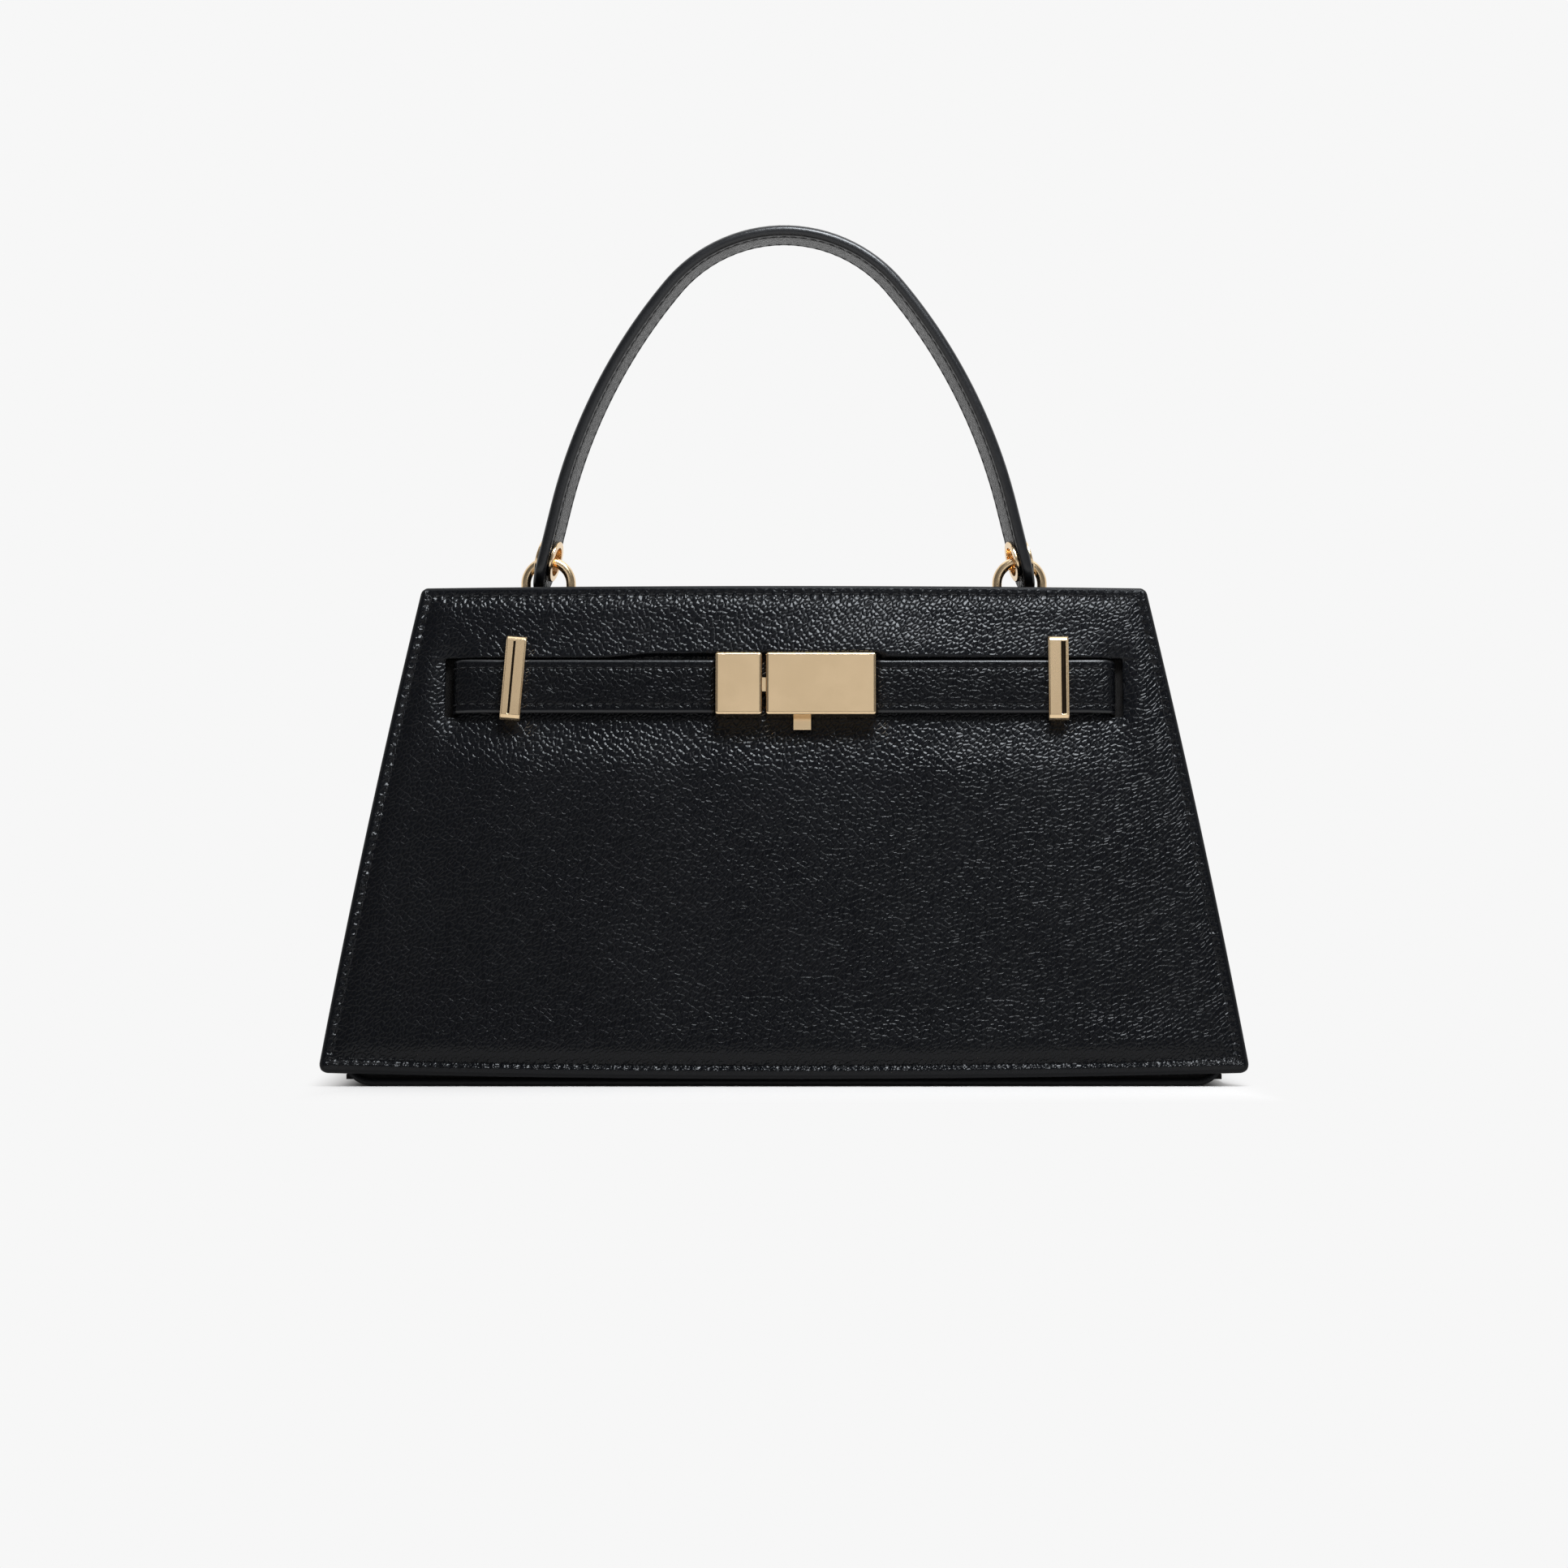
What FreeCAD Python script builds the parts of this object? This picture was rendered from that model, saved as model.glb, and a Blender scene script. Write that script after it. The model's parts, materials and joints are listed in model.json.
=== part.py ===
"""Structured top handle bag with a belted front, a clasp and a handle on two rings.

Millimetres, +Z up, the front faces -Y, the origin is on the floor under the bag's centre.
Each function makes one sub-part. Wall pieces are drawn flat, in the wall's own frame
(outer face on y = 0, the inside towards +y, z up the slope), and then leant into place.
"""
import FreeCAD
import Part
import math
import os

from FreeCAD import Placement, Rotation, Vector

# Body of the bag
BASE_WIDTH = 280.0
TOP_WIDTH = 222.0
BODY_HEIGHT = 151.0
BASE_DEPTH = 95.0
MOUTH_DEPTH = 40.0
FLOOR_GAP = 2.6
SIDE_BOW = 1.0
TOP_BOW = 0.8
BOTTOM_BOW = 1.8
CORNER_RADIUS = 2.5

# Sheet thicknesses
PANEL_SHEET = 2.0
WALL_BOARD = 1.0
LINING = 0.6
GUSSET_SHEET = 1.6
BASE_SHEET = 2.0
BASE_BOARD = 1.5
DIVIDER_SHEET = 1.2
DIVIDER_BOARD = 1.0

# Seams and folds
SEAM_MARGIN = 4.5
FLANGE_SHEET = 1.2
BOARD_INSET = 9.5
LINING_INSET = 8.5
FOLD_AT_BASE = 1.5
FOLD_AT_MOUTH = 18.0
GUSSET_DROP = 3.0
SEAM_GAP = 0.25

# Belt
BELT_HEIGHT = 119.6
BELT_WIDTH = 16.7
BELT_SHEET = 2.4
BELT_GAP = 0.3
BELT_SKIVE = 1.2
BELT_GRIP = 8.0
BELT_TAIL = 5.5
SLOT_REACH = 103.5
SLOT_WIDTH = 4.2
SLOT_CLEARANCE = 0.8

# Keeper bars
KEEPER_LEFT = 82.4
KEEPER_RIGHT = 83.6
KEEPER_RISE = 2.2
KEEPER_TILT = 4.4
KEEPER_WIDTH = 6.2
KEEPER_LENGTH = 26.2
KEEPER_BAR = 2.4
KEEPER_LEG = 2.0
KEEPER_LEG_WIDTH = 4.0
KEEPER_CLEARANCE = 0.3
KEEPER_EDGE = 0.9
WASHER_SHEET = 0.9
WASHER_RIM = 1.2
LEG_CLEARANCE = 0.1

# Clasp
CATCH_LEFT = -20.9
CATCH_WIDTH = 14.2
CLASP_GAP = 1.2
LOCK_WIDTH = 33.5
CLASP_TALL = 19.3
CASE_DEPTH = 5.6
CASE_WALL = 1.2
CASE_EDGE = 0.8
BACK_PLATE = 1.2
CASE_CLEARANCE = 0.1
TONGUE_TALL = 4.3
TONGUE_SHEET = 2.0
TONGUE_ROOT_TALL = 11.0
TONGUE_CLEARANCE = 0.25
NOTCH_DEPTH = 0.8
NOTCH_CLEARANCE = 0.2
HOOK_WIDTH = 1.8
RAMP_SLOPE = 0.15
TIP_FLAT = 0.6
TAB_OFFSET = 8.4
TAB_WIDTH = 5.3
TAB_REACH = 4.0
LATCH_SHEET = 1.1
LATCH_TOP = 4.6
SPRING_STRIP = 0.3
SPRING_SPAN = 8.0
SCREW_RADIUS = 0.7
SCREW_HEAD = 1.3
SCREW_SPREAD = 11.0
SCREW_SETBACK = 4.4

# Handle
HANDLE_TOP = 263.0
HANDLE_WIDTH = 16.5
HANDLE_SKIN = 1.4
HANDLE_CORE = 1.0
CORE_INSET = 1.2
CROWN_RADIUS = 47.0
CROWN_ANGLE = 50.0
FLANK_RADIUS = 172.0
FLANK_ANGLE = 76.0
HANDLE_STRAIGHT = 25.0
HANDLE_FLARE = 3.0
EYELET_BORE = 9.0
EYELET_TUBE = 0.5
EYELET_RIM = 12.8
EYELET_FLANGE = 0.7
EYELET_CLEARANCE = 0.15

# Rings and their tabs
RING_WIRE = 3.0
RING_WIDTH = 17.0
RING_TALL = 24.0
RING_CORNER = 3.2
RING_DROP = 0.5
TAB_STRAP_WIDTH = 7.0
TAB_STRAP_SHEET = 1.6
TAB_STRAP_LENGTH = 20.0
TAB_NECK = 6.5
RING_CLEARANCE = 0.1

# Worked out from the sizes above
HALF_LEAN = (BASE_DEPTH - MOUTH_DEPTH) / 2
WALL_RISE = BODY_HEIGHT - FLOOR_GAP
LEAN = math.atan2(HALF_LEAN, WALL_RISE)
WALL_SLOPE = math.hypot(HALF_LEAN, WALL_RISE)
BELT_BACK = -BELT_GAP
BELT_FRONT = -BELT_GAP - BELT_SHEET
BOARD_BACK = PANEL_SHEET + WALL_BOARD
CASE_BACK = -BELT_GAP - BACK_PLATE
CASE_FRONT = CASE_BACK - CASE_DEPTH
CAVITY_FRONT = CASE_FRONT + CASE_WALL
GRIP_FRONT = CASE_BACK - BELT_SKIVE
CATCH_RIGHT = CATCH_LEFT + CATCH_WIDTH
LOCK_LEFT = CATCH_RIGHT + CLASP_GAP
LOCK_RIGHT = LOCK_LEFT + LOCK_WIDTH
LATCH_BACK = CASE_BACK - CASE_CLEARANCE
LATCH_FRONT = LATCH_BACK - LATCH_SHEET
TONGUE_BACK = LATCH_FRONT - TONGUE_CLEARANCE
TONGUE_FRONT = TONGUE_BACK - TONGUE_SHEET
TAB_LEFT = LOCK_LEFT + TAB_OFFSET
HANDLE_SHEET = 2 * HANDLE_SKIN + HANDLE_CORE
DIVIDER_HALF = DIVIDER_SHEET + DIVIDER_BOARD / 2
BASE_TOP = BASE_SHEET + BASE_BOARD + LINING
WIRE_RADIUS = RING_WIRE / 2


def box(low, high):
    """Block between two corners."""
    size = Vector(*high) - Vector(*low)
    return Part.makeBox(size.x, size.y, size.z, Vector(*low))


def prism(points, sweep):
    """Solid from a closed polygon, pushed along a vector."""
    face = Part.Face(Part.makePolygon(points + points[:1]))
    return face.extrude(sweep)


def arc(first, middle, last):
    """Edge of the circle through three points."""
    return Part.Arc(first, middle, last).toShape()


def lean_front(shape):
    """Front wall piece, leant into its place on the bag."""
    placed = shape.copy()
    turn = Rotation(Vector(1, 0, 0), -math.degrees(LEAN))
    placed.Placement = Placement(Vector(0, -BASE_DEPTH / 2, FLOOR_GAP), turn).multiply(placed.Placement)
    return placed


def lean_back(shape):
    """The same piece on the back wall."""
    placed = lean_front(shape)
    placed.rotate(Vector(0, 0, 0), Vector(0, 0, 1), 180)
    return placed


def wall_sheet(near, far, inset):
    """Sheet of a wall's outline, bowed at each edge and rounded at its corners."""
    low = inset
    high = WALL_SLOPE - inset
    half_low = BASE_WIDTH / 2 - inset
    half_high = TOP_WIDTH / 2 - inset
    half_middle = (half_low + half_high) / 2 + SIDE_BOW
    middle = (low + high) / 2
    corners = [Vector(-half_low, near, low), Vector(half_low, near, low),
               Vector(half_high, near, high), Vector(-half_high, near, high)]
    crowns = [Vector(0, near, low - BOTTOM_BOW), Vector(half_middle, near, middle),
              Vector(0, near, high + TOP_BOW), Vector(-half_middle, near, middle)]
    edges = [arc(corners[i], crowns[i], corners[(i + 1) % 4]) for i in range(4)]
    sheet = Part.Face(Part.Wire(edges)).extrude(Vector(0, far - near, 0))
    corner_edges = [e for e in sheet.Edges if abs(e.BoundBox.YLength - (far - near)) < 1e-6
                    and e.BoundBox.XLength + e.BoundBox.ZLength < 1e-6]
    return sheet.makeFillet(CORNER_RADIUS, corner_edges)


def keeper_frame(side):
    """Place of a keeper bar on the wall: side is -1 for the left and 1 for the right."""
    across = -KEEPER_LEFT if side < 0 else KEEPER_RIGHT
    tilt = KEEPER_TILT if side < 0 else 0.0
    return Placement(Vector(across, 0, BELT_HEIGHT + KEEPER_RISE), Rotation(Vector(0, 1, 0), tilt))


def keeper_pieces(side, leg_room, washer_room):
    """Bar, its two legs as one solid, and its washer, each widened by the room given."""
    bar_back = BELT_FRONT - KEEPER_CLEARANCE
    bar_front = bar_back - KEEPER_BAR
    half = KEEPER_LENGTH / 2
    bar = box((-KEEPER_WIDTH / 2, bar_front, -half), (KEEPER_WIDTH / 2, bar_back, half))
    front_edges = [e for e in bar.Edges if abs(e.BoundBox.YMax - bar_front) < 1e-6]
    bar = bar.makeChamfer(KEEPER_EDGE, front_edges)
    legs = []
    for end in (-half, half - KEEPER_LEG):
        low = (-KEEPER_LEG_WIDTH / 2 - leg_room, bar_back, end - leg_room)
        high = (KEEPER_LEG_WIDTH / 2 + leg_room, PANEL_SHEET + WASHER_SHEET, end + KEEPER_LEG + leg_room)
        legs.append(box(low, high))
    legs = legs[0].fuse(legs[1])
    rim = WASHER_RIM + washer_room
    washer = box((-KEEPER_LEG_WIDTH / 2 - rim, PANEL_SHEET, -half - rim),
                 (KEEPER_LEG_WIDTH / 2 + rim, PANEL_SHEET + WASHER_SHEET, half + rim))
    place = keeper_frame(side)
    for shape in (bar, legs, washer):
        shape.Placement = place
    return bar, legs, washer


def keeper(side):
    """Gold bar over the belt, with the legs that go through the panel."""
    bar, legs, _ = keeper_pieces(side, 0.0, 0.0)
    return lean_front(bar.fuse(legs).removeSplitter())


def keeper_washer(side):
    """Plate behind the panel on which a keeper's legs are peened."""
    _, _, washer = keeper_pieces(side, 0.0, 0.0)
    _, holes, _ = keeper_pieces(side, LEG_CLEARANCE, 0.0)
    return lean_front(washer.cut(holes))


def slot_span(side):
    """Left and right end of a belt slot."""
    outer = side * SLOT_REACH
    inner = side * (SLOT_REACH - SLOT_WIDTH)
    return min(outer, inner), max(outer, inner)


def front_panel():
    """Front leather with the belt's slots and the keepers' holes."""
    panel = wall_sheet(0.0, PANEL_SHEET, 0.0)
    half = BELT_WIDTH / 2 + SLOT_CLEARANCE
    for side in (-1, 1):
        left, right = slot_span(side)
        panel = panel.cut(box((left, -1, BELT_HEIGHT - half), (right, PANEL_SHEET + 1, BELT_HEIGHT + half)))
        _, legs, _ = keeper_pieces(side, LEG_CLEARANCE, 0.0)
        panel = panel.cut(legs)
    return lean_front(panel)


def front_board():
    """Stiffener of the front wall, with windows for the belt's tails and the keepers' washers."""
    board = wall_sheet(PANEL_SHEET, BOARD_BACK, BOARD_INSET)
    half = BELT_WIDTH / 2 + SLOT_CLEARANCE
    for side in (-1, 1):
        left, right = slot_span(side)
        reach = (BELT_TAIL + SLOT_CLEARANCE) * side
        low = (min(left, left + reach), PANEL_SHEET - 1, BELT_HEIGHT - half)
        high = (max(right, right + reach), BOARD_BACK + 1, BELT_HEIGHT + half)
        _, _, washer = keeper_pieces(side, 0.0, LEG_CLEARANCE)
        window = washer.fuse(washer.translated(Vector(0, WALL_BOARD - WASHER_SHEET, 0)))
        board = board.cut(box(low, high)).cut(window)
    return lean_front(board)


def belt(side, case_face):
    """One belt half: a run on the panel, a bend through the slot, a tail and a thin end in the clasp."""
    low = BELT_HEIGHT - BELT_WIDTH / 2
    high = BELT_HEIGHT + BELT_WIDTH / 2
    left, right = slot_span(side)
    middle = (left + right) / 2
    bend_outer = middle + side * BELT_SHEET / 2
    bend_inner = middle - side * BELT_SHEET / 2
    tail_end = bend_outer + side * BELT_TAIL
    grip_end = case_face - side * (CASE_WALL + BELT_GRIP)
    case_side = case_face + side * CASE_CLEARANCE
    steps = [((bend_outer, case_side), (BELT_FRONT, BELT_BACK)),
             ((bend_outer, bend_inner), (BELT_FRONT, BOARD_BACK)),
             ((bend_inner, tail_end), (PANEL_SHEET, BOARD_BACK)),
             ((case_side, grip_end), (GRIP_FRONT, CASE_BACK))]
    solid = None
    for ends, depth in steps:
        block = box((min(ends), depth[0], low), (max(ends), depth[1], high))
        solid = block if solid is None else solid.fuse(block)
    return lean_front(solid.removeSplitter().cut(clasp_screws(case_face, side, CASE_CLEARANCE)))


def clasp_screws(case_face, side, room):
    """Two screws through a back plate and the belt's end, drawn in the wall's frame."""
    across = case_face - side * (CASE_WALL + SCREW_SETBACK)
    screws = None
    for offset in (-SCREW_SPREAD / 2, SCREW_SPREAD / 2):
        foot = Vector(across, CASE_BACK + BACK_PLATE - CASE_CLEARANCE, BELT_HEIGHT + offset)
        length = foot.y - CAVITY_FRONT - CASE_CLEARANCE
        shank = Part.makeCylinder(SCREW_RADIUS + room, length, foot, Vector(0, -1, 0))
        head = Part.makeCone(SCREW_HEAD + room, SCREW_RADIUS + room, BACK_PLATE / 2, foot, Vector(0, -1, 0))
        screw = shank.fuse(head)
        screws = screw if screws is None else screws.fuse(screw)
    return screws


def clasp_case(left, right, belt_side):
    """Hollow case of the clasp, open at the back, with a notch where the belt goes in."""
    low = BELT_HEIGHT - CLASP_TALL / 2
    high = BELT_HEIGHT + CLASP_TALL / 2
    case = box((left, CASE_FRONT, low), (right, CASE_BACK, high))
    front_edges = [e for e in case.Edges if abs(e.BoundBox.YMax - CASE_FRONT) < 1e-6]
    upright_edges = [e for e in case.Edges if e.BoundBox.YLength > CASE_DEPTH / 2]
    case = case.makeFillet(CASE_EDGE, front_edges + upright_edges)
    cavity = box((left + CASE_WALL, CAVITY_FRONT, low + CASE_WALL),
                 (right - CASE_WALL, CASE_BACK, high - CASE_WALL))
    case = case.cut(cavity)
    half = BELT_WIDTH / 2 + CASE_CLEARANCE
    face = right if belt_side > 0 else left
    notch = box((face - 2 * CASE_WALL, GRIP_FRONT - CASE_CLEARANCE, BELT_HEIGHT - half),
                (face + 2 * CASE_WALL, CASE_BACK + 1, BELT_HEIGHT + half))
    case = case.cut(notch)
    bosses = None
    across = face - belt_side * (CASE_WALL + SCREW_SETBACK)
    boss_length = GRIP_FRONT - CASE_CLEARANCE - CAVITY_FRONT
    for offset in (-SCREW_SPREAD / 2, SCREW_SPREAD / 2):
        top = Vector(across, CAVITY_FRONT, BELT_HEIGHT + offset)
        boss = Part.makeCylinder(2 * SCREW_RADIUS, boss_length, top, Vector(0, 1, 0))
        bosses = boss if bosses is None else bosses.fuse(boss)
    return case.fuse(bosses).cut(clasp_screws(face, belt_side, 0.0))


def tongue_hole(face):
    """Cut for the tongue through a case's wall."""
    half = TONGUE_TALL / 2 + TONGUE_CLEARANCE
    return box((face - 2 * CASE_WALL, TONGUE_FRONT - TONGUE_CLEARANCE, BELT_HEIGHT - half),
               (face + 2 * CASE_WALL, TONGUE_BACK + TONGUE_CLEARANCE, BELT_HEIGHT + half))


def catch_case():
    """Case on the left belt half, from which the tongue stands out."""
    return lean_front(clasp_case(CATCH_LEFT, CATCH_RIGHT, -1).cut(tongue_hole(CATCH_RIGHT)))


def lock_case():
    """Case on the right belt half, with the tongue's mouth and the tab's notch."""
    case = clasp_case(LOCK_LEFT, LOCK_RIGHT, 1).cut(tongue_hole(LOCK_LEFT))
    low = BELT_HEIGHT - CLASP_TALL / 2
    notch = box((TAB_LEFT - CASE_CLEARANCE, LATCH_FRONT - CASE_CLEARANCE, low - 1),
                (TAB_LEFT + TAB_WIDTH + CASE_CLEARANCE, CASE_BACK + 1, low + CASE_WALL + 1))
    return lean_front(case.cut(notch))


def back_plate(left, right, belt_face, belt_side):
    """Plate behind a case, which clamps the belt's end."""
    half = CLASP_TALL / 2
    plate = box((left, CASE_BACK, BELT_HEIGHT - half), (right, CASE_BACK + BACK_PLATE, BELT_HEIGHT + half))
    corner_edges = [e for e in plate.Edges if e.BoundBox.YLength > BACK_PLATE / 2]
    plate = plate.makeFillet(CASE_EDGE, corner_edges)
    return lean_front(plate.cut(clasp_screws(belt_face, belt_side, CASE_CLEARANCE)))


def hook_span():
    """Left and right side of the latch's hook."""
    return TAB_LEFT, TAB_LEFT + HOOK_WIDTH


def tongue_ramp():
    """Start and end of the ramp on the tongue's upper edge."""
    start = hook_span()[1] + NOTCH_CLEARANCE
    return start, start + NOTCH_DEPTH / RAMP_SLOPE


def catch_tongue():
    """Flat tongue with a notch for the hook and a ramp that lifts the hook as it is drawn out."""
    half = TONGUE_TALL / 2
    root = CATCH_LEFT + 2 * CASE_WALL + SCREW_SETBACK + 2 * SCREW_RADIUS
    ramp_start, ramp_end = tongue_ramp()
    tip = ramp_end + TIP_FLAT
    notch_left = hook_span()[0] - NOTCH_CLEARANCE
    outline = [(root, -half), (tip - half, -half), (tip, 0.0), (tip, half), (ramp_end, half),
               (ramp_start, half - NOTCH_DEPTH), (notch_left, half - NOTCH_DEPTH), (notch_left, half),
               (root, half)]
    points = [Vector(x, TONGUE_FRONT, BELT_HEIGHT + z) for x, z in outline]
    blade = prism(points, Vector(0, TONGUE_SHEET, 0))
    root_right = CATCH_RIGHT - CASE_WALL - CASE_CLEARANCE
    root_block = box((root, CAVITY_FRONT + CASE_CLEARANCE, BELT_HEIGHT - TONGUE_ROOT_TALL / 2),
                     (root_right, CASE_BACK - CASE_CLEARANCE, BELT_HEIGHT + TONGUE_ROOT_TALL / 2))
    grip_room = box((CATCH_LEFT, GRIP_FRONT - CASE_CLEARANCE, BELT_HEIGHT - TONGUE_ROOT_TALL),
                    (CATCH_LEFT + CASE_WALL + BELT_GRIP + CASE_CLEARANCE, CASE_BACK + 1,
                     BELT_HEIGHT + TONGUE_ROOT_TALL))
    return lean_front(blade.fuse(root_block.cut(grip_room)).removeSplitter())


def latch():
    """Release tab with its plate behind the tongue and the hook over the tongue's notch."""
    tab_low = BELT_HEIGHT - CLASP_TALL / 2 - TAB_REACH
    plate_high = BELT_HEIGHT + LATCH_TOP
    plate = box((TAB_LEFT, LATCH_FRONT, tab_low), (TAB_LEFT + TAB_WIDTH, LATCH_BACK, plate_high))
    hook_left, hook_right = hook_span()
    hook_low = BELT_HEIGHT + TONGUE_TALL / 2 - NOTCH_DEPTH + CASE_CLEARANCE
    hook = box((hook_left, TONGUE_FRONT, hook_low), (hook_right, LATCH_BACK, plate_high))
    low_edges = [e for e in plate.Edges if abs(e.BoundBox.ZMax - tab_low) < 1e-6 and e.BoundBox.XLength > 1]
    return lean_front(plate.makeFillet(LATCH_SHEET / 3, low_edges).fuse(hook).removeSplitter())


def latch_spring():
    """Bowed leaf between the latch and the case's upper wall."""
    middle = TAB_LEFT + TAB_WIDTH / 2
    top = BELT_HEIGHT + CLASP_TALL / 2 - CASE_WALL - CASE_CLEARANCE
    bottom = BELT_HEIGHT + LATCH_TOP + CASE_CLEARANCE
    ends = [Vector(middle + end * SPRING_SPAN / 2, LATCH_FRONT, top) for end in (-1, 1)]
    drop = Vector(0, 0, -SPRING_STRIP)
    lower = arc(ends[0] + drop, Vector(middle, LATCH_FRONT, bottom), ends[1] + drop)
    upper = arc(ends[0], Vector(middle, LATCH_FRONT, bottom + SPRING_STRIP), ends[1])
    sides = [Part.makeLine(ends[i], ends[i] + drop) for i in range(2)]
    outline = Part.Wire(Part.__sortEdges__([lower, upper] + sides))
    return lean_front(Part.Face(outline).extrude(Vector(0, LATCH_SHEET, 0)))


def wall_face(height, depth):
    """Distance from the bag's middle to a layer of a wall, at a height."""
    outer = BASE_DEPTH / 2 - (height - FLOOR_GAP) * math.tan(LEAN)
    return outer - depth / math.cos(LEAN)


def seam_reach(height):
    """Half of the width between the side seams, at a height."""
    share = (height - FLOOR_GAP) / WALL_RISE
    return (BASE_WIDTH + (TOP_WIDTH - BASE_WIDTH) * share) / 2 - SEAM_MARGIN


def fold_reach(height):
    """Half of the width between the gussets' folds, at a height."""
    share = (height - FLOOR_GAP) / WALL_RISE
    return seam_reach(height) - FOLD_AT_BASE - (FOLD_AT_MOUTH - FOLD_AT_BASE) * share


def gusset(side):
    """Side piece, folded inwards along its middle, with a flange along each seam."""
    sections = []
    for height in (BASE_SHEET + SEAM_GAP, BODY_HEIGHT - GUSSET_DROP):
        seam = seam_reach(height)
        fold = fold_reach(height)
        face = wall_face(height, PANEL_SHEET + SEAM_GAP)
        flange = face - FLANGE_SHEET
        rim = seam + SEAM_MARGIN - SEAM_GAP
        front = [(rim, -face), (rim, -flange), (seam, -flange), (fold, 0.0)]
        back = [(seam, flange), (rim, flange), (rim, face), (seam - GUSSET_SHEET, face)]
        inner = [(fold - GUSSET_SHEET, 0.0), (seam - GUSSET_SHEET, -face)]
        points = [Vector(side * x, y, height) for x, y in front + back + inner]
        sections.append(Part.makePolygon(points + points[:1]))
    return Part.makeLoft(sections, True, True)


def base_layer(low, high, end_setback, side_setback):
    """Flat layer of the base between two heights, set back from the gussets and from the walls."""
    half_x = seam_reach(FLOOR_GAP) - end_setback
    half_y = wall_face(FLOOR_GAP, PANEL_SHEET) - SEAM_GAP - side_setback
    return box((-half_x, -half_y, low), (half_x, half_y, high))


def base_panel():
    """Outer leather of the base, rounded at its corners."""
    sheet = base_layer(0.0, BASE_SHEET, 0.0, 0.0)
    corner_edges = [e for e in sheet.Edges if e.BoundBox.ZLength > BASE_SHEET / 2]
    return sheet.makeFillet(CORNER_RADIUS, corner_edges)


def divider_sheet(near, far):
    """Layer of the centre divider between two depths."""
    low = BASE_TOP + SEAM_GAP
    high = ring_bar_height() - TAB_NECK
    half_low = fold_reach(low) - GUSSET_SHEET - SEAM_GAP
    half_high = fold_reach(high) - GUSSET_SHEET - SEAM_GAP
    corners = [(-half_low, low), (half_low, low), (half_high, high), (-half_high, high)]
    return prism([Vector(x, near, z) for x, z in corners], Vector(0, far - near, 0))


def handle_path(flare, depth, sink):
    """Points of one side of the handle's strap, on the right: crown, joints and end.

    flare widens the arch, depth is the place along Y, sink is how far inside the outer face.
    """
    crown_turn = math.radians(CROWN_ANGLE)
    flank_turn = math.radians(FLANK_ANGLE)
    crown = CROWN_RADIUS + flare / math.sin(crown_turn)
    centre_z = HANDLE_TOP - crown
    flank_x = (crown - FLANK_RADIUS) * math.sin(crown_turn)
    flank_z = centre_z + (crown - FLANK_RADIUS) * math.cos(crown_turn)

    def on_crown(turn):
        """Point of the crown's arc."""
        radius = crown - sink
        return Vector(radius * math.sin(turn), depth, centre_z + radius * math.cos(turn))

    def on_flank(turn):
        """Point of the flank's arc."""
        radius = FLANK_RADIUS - sink
        return Vector(flank_x + radius * math.sin(turn), depth, flank_z + radius * math.cos(turn))

    foot = on_flank(flank_turn)
    run = Vector(math.cos(flank_turn), 0, -math.sin(flank_turn))
    return {"crown": on_crown(0.0), "joint": on_crown(crown_turn),
            "half": on_flank((crown_turn + flank_turn) / 2), "foot": foot,
            "end": foot + run * HANDLE_STRAIGHT, "run": run}


def flipped(point):
    """The same point on the left side."""
    return Vector(-point.x, point.y, point.z)


def handle_outline(flare, depth, sink_out, sink_in):
    """Closed outline of the strap at one depth."""
    rows = [handle_path(flare, depth, sink) for sink in (sink_out, sink_in)]
    edges = []
    for row in rows:
        edges.append([Part.makeLine(flipped(row["end"]), flipped(row["foot"])),
                      arc(flipped(row["foot"]), flipped(row["half"]), flipped(row["joint"])),
                      arc(flipped(row["joint"]), row["crown"], row["joint"]),
                      arc(row["joint"], row["half"], row["foot"]),
                      Part.makeLine(row["foot"], row["end"])])
    caps = [Part.makeLine(flipped(rows[0]["end"]), flipped(rows[1]["end"])),
            Part.makeLine(rows[0]["end"], rows[1]["end"])]
    return Part.Wire(Part.__sortEdges__(edges[0] + edges[1] + caps))


def handle_layer(sink_out, sink_in, inset):
    """Layer of the strap, wider at its front edge than at its back edge, with round ends and eyelet holes."""
    half = HANDLE_WIDTH / 2
    reach = half - inset
    flare = HANDLE_FLARE / 2 * reach / half
    front = handle_outline(flare, -reach, sink_out, sink_in)
    back = handle_outline(-flare, reach, sink_out, sink_in)
    strap = Part.makeLoft([front, back], True, True)
    for side in (-1, 1):
        centre, axis = eyelet_frame(side)
        radius = EYELET_BORE / 2 + EYELET_TUBE + EYELET_CLEARANCE
        hole = Part.makeCylinder(radius, 4 * HANDLE_SHEET, centre - axis * 2 * HANDLE_SHEET, axis)
        strap = strap.cut(hole).cut(end_trim(side, reach))
    return strap


def end_trim(side, reach):
    """What is cut off a square strap end to leave it round about the eyelet."""
    centre, axis = eyelet_frame(side)
    run = handle_path(0.0, 0.0, 0.0)["run"]
    if side < 0:
        run = flipped(run)
    across = axis.cross(run)
    foot = centre - axis * 2 * HANDLE_SHEET
    block = Part.makeBox(2 * HANDLE_WIDTH, 2 * HANDLE_WIDTH, 4 * HANDLE_SHEET)
    block.Placement = Placement(foot - across * HANDLE_WIDTH, Rotation(run, across, axis, "ZXY"))
    return block.cut(Part.makeCylinder(reach, 4 * HANDLE_SHEET, foot, axis))


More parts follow.
